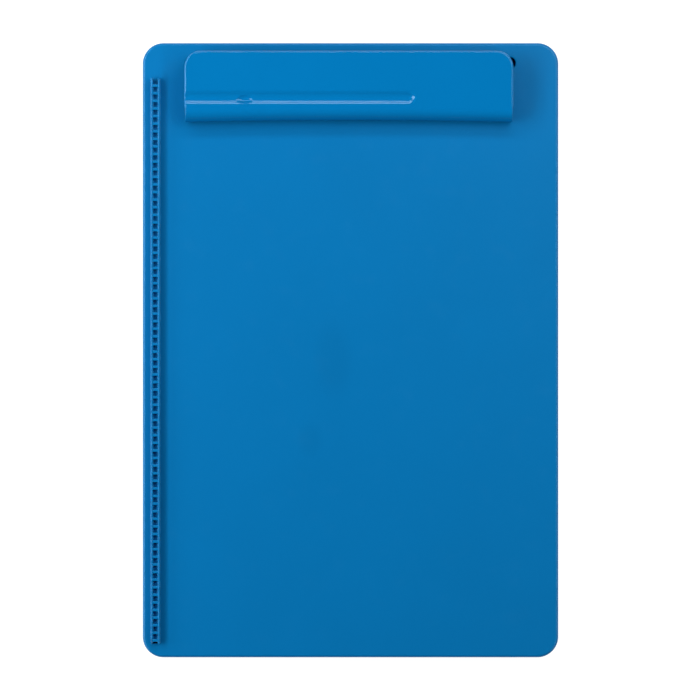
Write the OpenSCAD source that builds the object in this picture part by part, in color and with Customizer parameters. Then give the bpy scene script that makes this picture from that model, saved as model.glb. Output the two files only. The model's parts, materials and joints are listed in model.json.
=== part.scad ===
// Storage clipboard box: a writing board with a sprung clip, hinged as the lid of a shallow A4 tray.
// Millimetres. X across the board, Y along it towards the clip, Z up.
// The origin is under the middle of the box, on the plane that its feet stand on.

/* [Writing board] */
// Width of the writing board, which is the lid of the box
board_w = 230; // [226:1:250]
// Length of the writing board
board_l = 340; // [332:1:370]
// Thickness of the board
board_t = 2.6; // [2.2:0.1:3.4]
// Radius of the board's corners, seen from above
corner_r = 11.5; // [9:0.5:16]
// Radius of the board's rounded upper edge
edge_r = 1.5; // [0.6:0.1:1.8]
// Depth of the skirt that hangs from the board on its three free sides
skirt_d = 3.8; // [3:0.1:5]
// Thickness of the skirt
skirt_t = 1.7; // [1.4:0.1:2.2]
// Height of the stiffening ribs under the board
rib_h = 1.2; // [0.6:0.1:1.6]
// Thickness of the stiffening ribs under the board
rib_t = 1.4; // [1:0.1:2]
// Distance of the outermost ribs from the tray's side walls
rib_side = 12; // [10:0.5:30]
// Distance of the outermost ribs from the tray's end walls
rib_end = 14; // [4:0.5:30]
// Radius of the round hole under each back corner of the clip
hole_r = 3.2; // [2:0.1:4]
// Distance of these holes from the board's centre line
hole_x = 88.1; // [84:0.1:95]
// Distance of these holes from the board's upper end
hole_set = 11.1; // [8:0.1:16]
// Chamfer round the upper edge of these holes
hole_chamfer = 0.4; // [0.2:0.1:0.8]

/* [Paper stop rail] */
// Distance of the rail from the board's hinge side
rail_set = 4.6; // [3:0.1:8]
// Width of the rail over its two walls
rail_w = 5.1; // [4.5:0.1:8]
// Height of the rail above the board
rail_h = 4; // [2:0.1:6]
// Thickness of each wall of the rail
rail_wall = 1.2; // [0.8:0.1:1.6]
// Distance of the rail from the board's upper end
rail_top = 19.6; // [16:0.1:40]
// Distance of the rail from the board's lower end
rail_bottom = 7.7; // [6:0.1:40]
// Pitch of the rungs between the rail's walls
rung_pitch = 4.2; // [3:0.1:8]
// Thickness of each rung
rung_t = 1; // [0.8:0.1:1.6]
// Drop of the rungs below the tops of the walls
rung_drop = 0.5; // [0:0.1:1]
// Depth of the cells between the rungs
rail_cell = 1.2; // [0.6:0.1:1.8]
// Length of the open slot between the walls at the rail's lower end
rail_slot = 1.8; // [1:0.1:3]
// Length and drop of the slope at the lower end of the rail's outer wall
rail_slope = 3; // [0.5:0.1:3.5]

/* [Tray] */
// Clear depth inside the closed box, up to the tray's rim
depth_in = 16.6; // [16:0.2:30]
// Thickness of the tray's walls
wall_t = 2.2; // [1.8:0.1:2.6]
// Thickness of the tray's floor
floor_t = 2; // [1.6:0.1:3]
// Radius of the tray's rounded lower edge
tray_edge_r = 2; // [0.5:0.1:3]
// Gap between the lid's skirt and the tray's walls
skirt_gap = 0.3; // [0.2:0.05:0.6]
// Gap between the tray's rim and the closed lid
lid_gap = 0.2; // [0.1:0.05:0.4]
// Width of the pen trough across the tray's lower end
trough_w = 31; // [20:1:36]
// Height of the partition beside the pen trough
partition_h = 11; // [6:0.5:14]
// Thickness of the partition
partition_t = 1.6; // [1.2:0.1:2.4]
// Width of the dip in the partition's upper edge
dip_w = 60; // [30:1:90]
// Depth of that dip
dip_d = 5; // [1:0.5:5.5]

/* [Feet] */
// Radius of each foot
foot_r = 6; // [4:0.5:9]
// Height of the feet below the tray
foot_proud = 1.5; // [1:0.1:3]
// Depth of the round recess that each foot is stuck in
foot_recess = 0.8; // [0.4:0.1:1]
// Radius of each foot's rounded lower edge
foot_edge_r = 0.5; // [0.2:0.1:0.8]
// Distance of the feet's centres from the tray's sides
foot_set = 17; // [14:0.5:30]

/* [Hinge] */
// Radius of the hinge knuckles
barrel_r = 3.4; // [3:0.1:3.6]
// Radius of the hinge pins
pin_r = 1.5; // [1:0.1:1.8]
// Radial gap round each pin, in a bore that turns on it
pin_gap = 0.06; // [0.03:0.01:0.1]
// Gap between the knuckles and the board above them
barrel_gap = 0.5; // [0.4:0.1:0.8]
// Distance of the hinge axis from the board's edge
hinge_set = 4.2; // [4.1:0.1:4.6]
// Distance of each hinge's middle from the board's nearer end
hinge_end = 70; // [52:1:110]
// Length of each knuckle
knuckle_l = 12; // [8:0.5:14]
// Gap between neighbouring knuckles
knuckle_gap = 0.3; // [0.2:0.05:0.6]
// Number of knuckles in each hinge, which is an odd number
knuckle_n = 5; // [3:2:7]
// Thickness of the pocket round each hinge
pocket_t = 1.8; // [1.4:0.1:2.4]

/* [Latch] */
// Travel of the latch slider
latch_travel = 4; // [3.5:0.1:5]
// Length of the slider
slider_l = 48; // [46:1:60]
// Thickness of the slider
slider_t = 1.9; // [1.6:0.1:2.2]
// Height of the slider's bar
slider_h = 8.2; // [7.5:0.1:8.6]
// Gap between the slider and what guides it
slide_gap = 0.25; // [0.15:0.05:0.35]
// Length of the thumb tab
tab_l = 16; // [12:0.5:20]
// Height of the thumb tab
tab_h = 6.4; // [5:0.1:6.8]
// Radius of the corners of the tab, the slider and the cover
latch_corner_r = 1.2; // [0.5:0.1:1.5]
// How far the thumb tab stands out of the wall
tab_proud = 1.1; // [0.5:0.1:1.5]
// Overlap of each hook with its catch
hook_bite = 2.4; // [1.8:0.1:3]
// Thickness of the hooks and catches, measured upwards
hook_t = 2.2; // [1.6:0.1:2.4]
// Thickness of the latch cover
cover_t = 1.4; // [1.2:0.1:1.8]
// Height of the latch cover
cover_h = 15.6; // [14:0.1:16]
// Distance of the cover's screws from its long edges
cover_screw_set = 3.4; // [3:0.1:4]

/* [Clip] */
// Width of the clip
clip_w = 181.5; // [178:0.5:190]
// Depth of the clip, from its lip to its back edge
clip_d = 39; // [38:0.5:42]
// Height of the clip's top above the board
clip_h = 12.4; // [12:0.1:15]
// Thickness of the clip's shell
clip_t = 2.2; // [1.8:0.1:2.4]
// Distance of the clip's back edge from the board's upper end
clip_set = 5; // [4:0.1:8]
// Height of the stiffening ribs inside the clip
clip_rib_h = 2.3; // [1:0.1:2.3]
// Thickness of these ribs
clip_rib_t = 1.6; // [1:0.1:2]
// Distance of the outermost of these ribs beyond the pivot brackets
clip_rib_out = 20; // [16:0.5:22]
// Offset of the clip from the board's centre line
clip_shift = -0.9; // [-2:0.1:2]
// Radius of the clip's back corners, seen from above
clip_corner_r = 9; // [6:0.5:12]
// Radius of the clip's rounded upper edge
clip_edge_r = 1.1; // [0.5:0.1:1.5]
// Outer radius of the clip's curled front
curl_r = 6.5; // [5:0.1:7]
// Inset of the curl from the clip's sides
curl_inset = 0.5; // [0.2:0.1:1]
// Bow of the clip's front: how far its middle lies behind its ends
lip_bow = 1; // [0.5:0.1:1.2]
// Height of the lip's lower edge above the board
lip_gap = 1.6; // [1.4:0.1:2]
// Height of the back rim's lower edge above the board
back_gap = 7.8; // [7.6:0.1:8.5]
// Radius of the pen groove
groove_r = 5.5; // [5:0.1:6.5]
// Depth of the pen groove
groove_d = 1.1; // [0.8:0.1:1.4]
// Distance of the groove's middle from the clip's lip
groove_y = 13.2; // [12.6:0.1:14]
// Distance of the groove's closed end from the board's centre line
groove_end = 36.1; // [20:0.1:60]
// Distance of the groove's dimple from the board's centre line, towards the groove's open end
dimple_x = 58.4; // [40:0.1:75]
// Distance of the dimple's middle from the groove's middle, towards the lip
dimple_y = 0.7; // [0:0.1:1.2]
// Length of the dimple
dimple_l = 8.6; // [6:0.2:12]
// Width of the dimple
dimple_w = 4; // [2.4:0.1:4.4]
// Depth of the dimple below the groove
dimple_d = 0.9; // [0.4:0.1:1]

/* [Clip pivot] */
// Distance of the pivot from the clip's back edge
pivot_back = 16; // [15:0.1:16.5]
// Height of the pivot above the board
pivot_h = 5.5; // [5.4:0.1:5.8]
// Radius of the pivot rod
rod_r = 1.5; // [1.2:0.1:1.7]
// Distance of each pivot bracket's middle from the clip's nearer side
bracket_set = 32.75; // [28:0.25:36]
// Width of each bracket's lug
lug_w = 8; // [6:0.5:10]
// Radius of the lugs and ears round the rod
ear_r = 3; // [2.6:0.1:3.1]
// Thickness of the clip's ears
ear_t = 3; // [2:0.1:3.5]
// Gap between an ear and the lug beside it
ear_gap = 0.3; // [0.2:0.05:0.5]
// Thickness of the brackets' bases
base_t = 2.2; // [1.8:0.1:2.2]
// Radius of the bases' corners, seen from above
base_corner_r = 1.5; // [0.5:0.1:2.2]
// Distance of each spring's middle from the clip's back edge
spring_set = 6.6; // [6.5:0.1:7]
// Mean radius of the springs' coils
spring_r = 3.4; // [3:0.1:3.6]
// Radius of the springs' wire
wire_r = 0.4; // [0.3:0.05:0.5]
// Number of turns in each spring
spring_turns = 6; // [4:1:7]
// Height of the jaw pad
pad_h = 1.5; // [1:0.1:1.8]
// Distance of the jaw pad's ends from the clip's sides
pad_end = 5; // [3:0.5:20]
// Width of the jaw pad
pad_w = 3; // [2:0.1:4]

/* [Screws] */
// Radius of the screws' shanks
screw_r = 1.25; // [1:0.05:1.4]
// Radius of the screws' heads
head_r = 2.4; // [2:0.1:2.6]
// Height of the clip screws' heads
head_h = 1.5; // [1.2:0.1:1.8]
// Radius of the latch cover's screws
cover_screw_r = 1; // [0.8:0.05:1.2]
// Radius of the heads of the latch cover's screws
cover_head_r = 2.1; // [1.8:0.1:2.4]
// Gap round a screw, in the hole that it is driven into
screw_gap = 0.05; // [0.03:0.01:0.1]

/* [Hidden] */
$fn = 64;
eps = 0.01;
cut = 1;              // how far a cutting shape runs past what it cuts

// Heights of the stack, from the feet up
z_floor = foot_proud + floor_t;
z_rim = z_floor + depth_in;
z_under = z_rim + lid_gap;
z_board = z_under + board_t;

// The tray lies inside the lid's skirt
overhang = skirt_t + skirt_gap;
tray_w = board_w - 2 * overhang;
tray_l = board_l - 2 * overhang;
tray_r = corner_r - overhang;
tray_side = tray_w / 2;
inner_side = tray_side - wall_t;
inner_end = tray_l / 2 - wall_t;

// Hinge
axis_x = -board_w / 2 + hinge_set;
hinge_y = board_l / 2 - hinge_end;
axis_drop = barrel_r + barrel_gap;
axis_z = z_under - axis_drop;
knuckle_pitch = knuckle_l + knuckle_gap;
hinge_l = knuckle_n * knuckle_pitch - knuckle_gap;
pocket_end_gap = 0.4;
pocket_l = hinge_l + 2 * pocket_end_gap;
pocket_reach = barrel_r + 0.6;                              // from the axis to the pocket's inner wall
pocket_drop = sqrt(pow(barrel_r, 2) + pow(axis_drop, 2)) + 0.4;
rest_drop = 1;                                              // the wall beside the hinge stays below the lid
floor_edge_r = 1;                                           // rounding between the floor and the walls inside

// Latch, in the plane between the right wall and its cover
slider_x = inner_side - slide_gap - slider_t;
cover_x = slider_x - slide_gap - cover_t;
slider_z = z_floor + floor_edge_r;
slider_top = slider_z + slider_h;
slider_y = -slider_l / 2 - latch_travel / 2;
tab_y = -tab_l / 2 - latch_travel / 2;
tab_z = slider_z + (slider_h - tab_h) / 2 + 0.2;
hook_gap = 0.3;
hook_post = 4;
hook_end = 6;
hook_arm = hook_bite + 2 * hook_gap;
catch_z = slider_top + 0.4;
hook_z = catch_z + hook_t + hook_gap;
hook_ys = [slider_y + hook_end, slider_y + slider_l - hook_end - hook_post];
catch_post = 3.5;
cover_boss_r = cover_head_r + 0.3;
cover_end = slider_l / 2 + latch_travel / 2 + cover_boss_r + 1.8;
cover_screws = [
    for (y = [-1, 1], z = [cover_screw_set, cover_h - cover_screw_set]) [y * cover_end, z_floor + z]];
cover_hole = inner_side - cover_x + wall_t - 0.8;     // leaves a skin on the outside of the wall

// Clip, measured from its lip and from the board's surface
lip_y = board_l / 2 - clip_set - clip_d;
bow_r = (pow(clip_w / 2, 2) + pow(lip_bow, 2)) / (2 * lip_bow);
front_y = curl_r + lip_bow + 0.4;                           // where the bowed front ends
bow_steps = 12;                                             // facets across the bow
bracket_x = clip_w / 2 - bracket_set;
pivot_y = clip_d - pivot_back;
rod_y = lip_y + pivot_y;
rod_z = z_board + pivot_h;
ear_out = lug_w / 2 + ear_gap + ear_t;
cap_t = 1.6;
cap_wall = 0.4;
cap_r = ear_r - 0.4;
cap_play = 0.1;
rod_end = bracket_x + ear_out + ear_gap + cap_t - cap_wall - cap_play;
spring_back = pivot_back - spring_set;
spring_y = rod_y + spring_back;
spring_h = clip_h - clip_t;
seat_r = spring_r - wire_r - 0.4;
seat_h = 1.6;
groove_lift = groove_r - groove_d;                          // groove's axis above the clip's top
dimple_r = (pow(dimple_w / 2, 2) + pow(dimple_d, 2)) / (2 * dimple_d);
dimple_reach = dimple_l / 2 / sqrt(dimple_d / dimple_r);    // where the spindle that cuts it would end
pad_side = clip_w / 2 - pad_end;
boss_r = 2.4;
boss_x = ear_out + boss_r + 0.6;
boss_y = -(boss_r + cap_r + 0.3);
boss_h = 4.6;
bracket_w = 2 * (boss_x + boss_r + 0.4);
bracket_front = boss_r - boss_y + 0.2;
bracket_back = spring_back - spring_r - wire_r - 0.9;
clip_screw_l = board_t + boss_h - 0.8;

// ---------------------------------------------------------------- shared shapes

// Edge of a rounded block, out from the corner's centre: its outer corners are rounded
module edge_profile(r, h, top, bottom) {
    difference() {
        square([r, h]);
        if (top > 0)
            translate([r - top, h - top]) difference() {
                square(top + cut);
                circle(top);
            }
        if (bottom > 0)
            translate([r - bottom, bottom]) mirror([0, 1]) difference() {
                square(bottom + cut);
                circle(bottom);
            }
    }
}

// Block with rounded corners, whose upper and lower edges may be rounded too
module rounded_block(w, l, r, h, top = 0, bottom = 0) {
    translate([-w / 2 + r, -l / 2 + r, 0]) cube([w - 2 * r, l - 2 * r, h]);
    for (q = [0:3]) rotate(90 * q) {
        out = (q % 2 == 0 ? w : l) / 2 - r;
        run = (q % 2 == 0 ? l : w) / 2 - r;
        translate([out, run, 0]) {
            rotate_extrude(angle = 90) edge_profile(r, h, top, bottom);
            rotate([90, 0, 0]) linear_extrude(2 * run) edge_profile(r, h, top, bottom);
        }
    }
}

// Extrudes a profile drawn in Y and Z along X, centred
module along_x(length) {
    rotate([90, 0, 90]) linear_extrude(length, center = true) children();
}

// Extrudes a profile drawn in X and Z along Y, centred
module along_y(length) {
    rotate([90, 0, 0]) linear_extrude(length, center = true) children();
}

module rod(r, length) {
    rotate([0, 90, 0]) cylinder(r = r, h = length, center = true);
}

// ---------------------------------------------------------------- hinge

// Repeats its child at each knuckle of one hinge: first and step choose which ones
module knuckles(side, first) {
    for (k = [first:2:knuckle_n - 1])
        translate([axis_x, side * hinge_y - hinge_l / 2 + k * knuckle_pitch + knuckle_l / 2, axis_z])
            children();
}

module lid_knuckle() {
    along_y(knuckle_l) difference() {
        union() {
            circle(barrel_r);
            translate([-barrel_r, 0]) square([2 * barrel_r, axis_drop + eps]);
        }
        circle(pin_r + pin_gap);
    }
}

module tray_knuckle() {
    along_y(knuckle_l) difference() {
        union() {
            circle(barrel_r);
            translate([0, -barrel_r]) square([pocket_reach + eps, barrel_r + 1]);
        }
        circle(pin_r + pin_gap);
    }
}

module hinge_pin(side) {
    color("silver")
        translate([axis_x, side * hinge_y, axis_z])
            rotate([90, 0, 0]) cylinder(r = pin_r, h = hinge_l, center = true);
}

// ---------------------------------------------------------------- lid

// Skirt on the three free sides; the hinge side stays open
module lid_skirt() {
    difference() {
        translate([0, 0, z_under - skirt_d]) rounded_block(board_w, board_l, corner_r, skirt_d + eps);
        translate([0, 0, z_under - skirt_d - cut])
            rounded_block(board_w - 2 * skirt_t, board_l - 2 * skirt_t, corner_r - skirt_t,
                skirt_d + 2 * cut);
        translate([-board_w / 2 - cut, -board_l / 2 - cut, z_under - skirt_d - cut])
            cube([corner_r + hinge_set + cut, board_l + 2 * cut, skirt_d + cut]);
    }
}

// Shallow grid of ribs under the board, clear of the tray's rim and hinges
module lid_ribs() {
    reach_x = inner_side - rib_side;
    reach_y = inner_end - rib_end;
    for (x = [-1, 0, 1])
        translate([x * reach_x - rib_t / 2, -reach_y, z_under - rib_h])
            cube([rib_t, 2 * reach_y, rib_h + eps]);
    for (y = [-1:0.5:1])
        translate([-reach_x, y * reach_y - rib_t / 2, z_under - rib_h])
            cube([2 * reach_x, rib_t, rib_h + eps]);
}

// Two thin walls with rungs and shallow cells between them. The outer wall slopes down at its lower end.
module stop_rail() {
    rail_l = board_l - rail_top - rail_bottom;
    rungs = floor((rail_l - 2 * rail_slot) / rung_pitch);
    translate([-board_w / 2 + rail_set, -board_l / 2 + rail_bottom, z_board - eps]) {
        for (k = [0:rungs])
            translate([0, rail_slot + k * rung_pitch, 0]) cube([rail_w, rung_t, rail_h - rung_drop + eps]);
        translate([rail_wall / 2, rail_slot + eps, 0])
            cube([rail_w - rail_wall, rungs * rung_pitch, rail_h - rung_drop - rail_cell + eps]);
        translate([rail_wall / 2, 0, 0]) along_x(rail_wall)
            polygon([[0, 0], [0, rail_h - rail_slope], [rail_slope, rail_h + eps],
                [rail_l, rail_h + eps], [rail_l, 0]]);
        translate([rail_w - rail_wall, 0, 0]) cube([rail_wall, rail_l, rail_h + eps]);
    }
}

// Slot through the board between the rail's walls, at the rail's lower end
module rail_slot_cut() {
    translate([-board_w / 2 + rail_set + rail_wall, -board_l / 2 + rail_bottom, z_under - cut])
        cube([rail_w - 2 * rail_wall, rail_slot - 0.2, board_t + 2 * cut]);
}

// Hook-shaped catches that hang from the lid and hold under the slider's hooks
module lid_catches() {
    for (y = hook_ys)
        translate([slider_x, y - hook_gap, catch_z]) {
            translate([0, -hook_arm - catch_post + hook_gap - 0.3, 0])
                cube([slider_t, catch_post, z_under - catch_z + eps]);
            translate([0, -hook_arm + hook_gap - 0.3 - eps, 0])
                cube([slider_t, hook_bite, hook_t]);
        }
}

module at_brackets() {
    for (side = [-1, 1])
        translate([clip_shift + side * bracket_x, rod_y, 0]) children();
}

module lid_board() {
    color("royalblue") difference() {
        union() {
            translate([0, 0, z_under]) rounded_block(board_w, board_l, corner_r, board_t, top = edge_r);
            lid_skirt();
            lid_ribs();
            stop_rail();
            lid_catches();
            for (side = [-1, 1]) knuckles(side, 1) lid_knuckle();
            at_brackets() translate([0, spring_back, z_board - eps]) cylinder(r = seat_r, h = seat_h + eps);
        }
        for (side = [-1, 1])
            translate([side * hole_x, board_l / 2 - hole_set, z_board]) {
                translate([0, 0, -board_t - rib_h - cut]) cylinder(r = hole_r, h = board_t + rib_h + 2 * cut);
                translate([0, 0, -hole_chamfer])
                    cylinder(r1 = hole_r, r2 = hole_r + 1.5 * hole_chamfer, h = 1.5 * hole_chamfer);
            }
        rail_slot_cut();
        at_brackets() for (side = [-1, 1])
            translate([side * boss_x, boss_y, z_under - rib_h - cut])
                cylinder(r = screw_r + 0.3, h = rib_h + board_t + 2 * cut);
    }
}

// ---------------------------------------------------------------- tray

// Pocket in the hinge side, which the knuckles lie in
module hinge_pocket(grow) {
    translate([axis_x - hinge_set - cut, -pocket_l / 2 - grow, axis_z - pocket_drop - grow])
        cube([hinge_set + cut + pocket_reach + grow, pocket_l + 2 * grow,
            z_rim - axis_z + pocket_drop + grow]);
}

// Wall across the tray beside the pen trough, with a dip where fingers lift the pens out
module pen_partition() {
    dip_r = (pow(dip_w / 2, 2) + pow(dip_d, 2)) / (2 * dip_d);
    translate([0, -inner_end + trough_w + partition_t / 2, z_floor - eps]) along_y(partition_t) difference() {
        translate([-inner_side - eps, 0]) square([2 * inner_side + 2 * eps, partition_h + eps]);
        translate([0, partition_h + dip_r - dip_d]) circle(dip_r, $fn = 180);
    }
}

module tray() {
    color("royalblue") difference() {
        union() {
            difference() {
                translate([0, 0, foot_proud])
                    rounded_block(tray_w, tray_l, tray_r, z_rim - foot_proud, bottom = tray_edge_r);
                translate([0, 0, z_floor])
                    rounded_block(2 * inner_side, 2 * inner_end, tray_r - wall_t, depth_in + cut,
                        bottom = floor_edge_r);
            }
            intersection() {
                translate([0, 0, foot_proud])
                    rounded_block(tray_w, tray_l, tray_r, z_rim - foot_proud, bottom = tray_edge_r);
                for (side = [-1, 1]) translate([0, side * hinge_y, 0]) hinge_pocket(pocket_t);
            }
            pen_partition();
            for (p = cover_screws)
                translate([cover_x + cover_t, p.x, p.y]) rotate([0, 90, 0])
                    cylinder(r = cover_boss_r, h = inner_side - cover_x - cover_t + eps);
        }
        for (side = [-1, 1]) translate([0, side * hinge_y, 0]) hinge_pocket(0);
        translate([-board_w / 2, -board_l / 2, axis_z + axis_drop - rest_drop])
            cube([hinge_set + 0.5, board_l, z_rim]);
        translate([inner_side - cut, tab_y + (tab_l + latch_travel) / 2, tab_z + tab_h / 2])
            upright_plate(tab_l + latch_travel + 2 * slide_gap, tab_h + 2 * slide_gap, wall_t + 2 * cut);
        for (p = cover_screws)
            translate([cover_x, p.x, p.y]) rotate([0, 90, 0])
                cylinder(r = cover_screw_r + screw_gap, h = cover_hole);
        for (x = [-1, 1], y = [-1, 1])
            translate([x * (tray_w / 2 - foot_set), y * (tray_l / 2 - foot_set), foot_proud - cut])
                cylinder(r = foot_r + 0.2, h = foot_recess + cut);
    }
    color("royalblue") for (side = [-1, 1]) knuckles(side, 0) tray_knuckle();
}

module foot(x, y) {
    color("dimgray")
        translate([x * (tray_w / 2 - foot_set), y * (tray_l / 2 - foot_set), 0])
            rotate_extrude() edge_profile(foot_r, foot_proud + foot_recess, 0, foot_edge_r);
}

// ---------------------------------------------------------------- latch

// Plate across X with rounded corners, which the latch's pieces are made of
module upright_plate(l, h, t) {
    rotate([0, 90, 0]) rounded_block(h, l, latch_corner_r, t);
}

module latch_slider() {
    color("royalblue") {
        translate([slider_x, slider_y + slider_l / 2, slider_z + slider_h / 2])
            upright_plate(slider_l, slider_h, slider_t);
        for (y = hook_ys) translate([slider_x, y, 0]) {
            translate([0, 0, slider_top - eps])
                cube([slider_t, hook_post, hook_z + hook_t - slider_top + eps]);
            translate([0, -hook_arm, hook_z]) cube([slider_t, hook_arm + eps, hook_t]);
        }
        translate([inner_side - slide_gap - eps, tab_y + tab_l / 2, tab_z + tab_h / 2])
            upright_plate(tab_l, tab_h, slide_gap + wall_t + tab_proud - 0.5);
        for (k = [0:4])
            translate([tray_side + tab_proud - 0.5 - eps, tab_y + 1.5 + k * (tab_l - 4) / 4, tab_z + 0.5])
                cube([0.5, 1, tab_h - 1]);
    }
}

module latch_cover() {
    color("royalblue") difference() {
        translate([cover_x, 0, z_floor + cover_h / 2])
            upright_plate(2 * (cover_end + cover_boss_r + 0.8), cover_h, cover_t);
        for (p = cover_screws) translate([cover_x - cut, p.x, p.y]) rotate([0, 90, 0]) {
            cylinder(r = cover_screw_r + 0.2, h = cover_t + 2 * cut);
            translate([0, 0, cut - eps])
                cylinder(r1 = cover_head_r + 0.1, r2 = cover_screw_r + 0.2, h = cover_t * 0.8);
        }
    }
}

module latch_screws() {
    color("silver") for (p = cover_screws) translate([cover_x, p.x, p.y]) rotate([0, 90, 0]) difference() {
        union() {
            cylinder(r1 = cover_head_r, r2 = cover_screw_r, h = cover_t * 0.8);
            cylinder(r = cover_screw_r, h = cover_hole - 0.4);
        }
        for (a = [0, 90]) rotate(a) translate([-1.2, -0.25, -cut]) cube([2.4, 0.5, cut + 0.5]);
    }
}

// ---------------------------------------------------------------- clip

// Side view of the clip's outer form, or of its hollow when inset by its wall
module clip_profile(inset) {
    front = curl_r - inset;
    translate([curl_r, inset > 0 ? -cut : 0])
        square([clip_d - curl_r - inset, clip_h - inset + (inset > 0 ? cut : 0)]);
    translate([curl_r, clip_h - curl_r]) circle(front);
    translate([inset, inset > 0 ? -cut : 0])
        square([front + eps, clip_h - curl_r + (inset > 0 ? cut : 0)]);
}

// Sweeps a profile drawn in Y and Z along the arc that the clip's front is bowed to
module along_bow(width) {
    turn = asin(width / 2 / bow_r);
    translate([0, lip_bow - bow_r, 0]) rotate(90 - turn)
        rotate_extrude(angle = 2 * turn, $fn = ceil(bow_steps * 180 / turn))
            translate([bow_r, 0]) let ($fn = 64) children();
}

// The curled front of the outer form or of the hollow
module clip_front(width, inset) {
    intersection() {
        along_bow(width + 4) intersection() {
            clip_profile(inset);
            translate([0, -cut]) square([front_y + 1, clip_h + 2 * cut]);
        }
        translate([-width / 2, 0, -2 * cut]) cube([width, front_y + eps, clip_h + 4 * cut]);
    }
}

// The slab behind the curled front, with its rounded back corners
module clip_slab() {
    intersection() {
        rounded_block(clip_w, 2 * clip_d, clip_corner_r, clip_h, top = clip_edge_r);
        translate([-clip_w, front_y, -cut]) cube([2 * clip_w, 2 * clip_d, clip_h + 2 * cut]);
    }
}

// Outer form: the slab, and the curled front that runs down to the lip
module clip_form() {
    clip_slab();
    clip_front(clip_w - 2 * curl_inset, 0);
}

module clip_hollow() {
    clip_front(clip_w - 2 * clip_t, clip_t);
    intersection() {
        translate([0, 0, -cut])
            rounded_block(clip_w - 2 * clip_t, 2 * (clip_d - clip_t), clip_corner_r - clip_t,
                clip_h - clip_t + cut);
        translate([-clip_w, front_y, -2 * cut]) cube([2 * clip_w, clip_d, clip_h + 2 * cut]);
    }
}

// What is cut from under the cheeks: level from the lip to the pivot, then rising to the back rim
module cheek_cut() {
    along_x(clip_w + 2 * cut)
        polygon([
            [-cut, -cut], [-cut, lip_gap], [pivot_y - 1.5, lip_gap],
            [clip_d, back_gap], [clip_d + cut, back_gap], [clip_d + cut, -cut]
        ]);
}

module groove(r) {
    left = clip_w / 2 + cut;
    right = groove_end - clip_shift - sqrt(pow(groove_r, 2) - pow(groove_lift, 2));
    translate([0, groove_y, clip_h + groove_lift]) {
        translate([(right - left) / 2, 0, 0]) rod(r, right + left);
        translate([right, 0, 0]) sphere(r);
    }
}

// Spindle that cuts the lens-shaped dimple into the groove's front bank
module dimple_spindle() {
    steps = 14;
    outline = [for (i = [0:steps]) let (t = 2 * i / steps - 1) [dimple_r * (1 - t * t), t * dimple_reach]];
    bank = groove_r + dimple_d - dimple_r;                  // from the groove's axis to the spindle's
    sunk = sqrt(pow(bank, 2) - pow(dimple_y, 2));
    translate([-dimple_x - clip_shift, groove_y - dimple_y, clip_h + groove_lift - sunk])
        rotate([0, 90, 0]) rotate_extrude() polygon(outline);
}

module clip_ribs() {
    for (x = [-bracket_x - clip_rib_out, -bracket_x / 2, 0, bracket_x / 2, bracket_x + clip_rib_out]) {
        front = clip_t + lip_bow - bow_r + sqrt(pow(bow_r, 2) - pow(x, 2));
        translate([x - clip_rib_t / 2, front, clip_h - clip_t - clip_rib_h])
            cube([clip_rib_t, clip_d - clip_t / 2 - front, clip_rib_h + eps]);
    }
}

// Ears that hang from the clip on both sides of each bracket's lug
module clip_ears() {
    for (side = [-1, 1], ear = [-1, 1])
        translate([side * bracket_x + ear * (lug_w / 2 + ear_gap + ear_t / 2), pivot_y, pivot_h])
            along_x(ear_t) {
                circle(ear_r);
                translate([-ear_r, 0]) square([2 * ear_r, clip_h - clip_t - pivot_h + eps]);
            }
}

module clip_lever() {
    color("dodgerblue") translate([clip_shift, lip_y, z_board]) difference() {
        union() {
            difference() {
                clip_form();
                clip_hollow();
                cheek_cut();
            }
            clip_ears();
            clip_ribs();
            intersection() {
                groove(groove_r + clip_t);
                clip_slab();
            }
            for (side = [-1, 1])
                translate([side * bracket_x, pivot_y + spring_back, spring_h - seat_h])
                    cylinder(r = seat_r, h = seat_h + eps);
        }
        groove(groove_r);
        dimple_spindle();
        translate([0, pivot_y, pivot_h]) rod(rod_r + pin_gap, 2 * rod_end);
    }
}

module jaw_pad() {
    color("dimgray") translate([clip_shift, lip_y, z_board])
        along_bow(2 * pad_side) translate([0.3, lip_gap - pad_h]) square([min(pad_w, clip_t + 1), pad_h]);
}

module clip_bracket(side) {
    color("dodgerblue") translate([clip_shift + side * bracket_x, rod_y, z_board]) difference() {
        union() {
            translate([0, (bracket_back - bracket_front) / 2, 0])
                rounded_block(bracket_w, bracket_front + bracket_back, base_corner_r, base_t);
            translate([0, 0, pivot_h]) along_x(lug_w) {
                circle(ear_r);
                polygon([
                    [-ear_r, 0], [ear_r, 0],
                    [bracket_back, base_t - pivot_h - eps], [-bracket_back, base_t - pivot_h - eps]
                ]);
            }
            for (x = [-1, 1]) translate([x * boss_x, boss_y, 0]) cylinder(r = boss_r, h = boss_h);
        }
        translate([0, 0, pivot_h]) rod(rod_r + 0.03, lug_w + 2 * cut);
        for (x = [-1, 1]) translate([x * boss_x, boss_y, -cut])
            cylinder(r = screw_r + screw_gap, h = boss_h + cut - 0.6);
    }
}

module clip_rod() {
    color("silver") translate([clip_shift, rod_y, rod_z]) rod(rod_r, 2 * rod_end);
}

// Push-on cap at each end of the rod
module rod_cap(side) {
    middle = rod_end + cap_play + cap_wall - cap_t / 2;
    color("silver") translate([clip_shift + side * middle, rod_y, rod_z]) difference() {
        rod(cap_r, cap_t);
        translate([-side * cap_wall, 0, 0]) rod(rod_r + 0.03, cap_t);
    }
}

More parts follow.
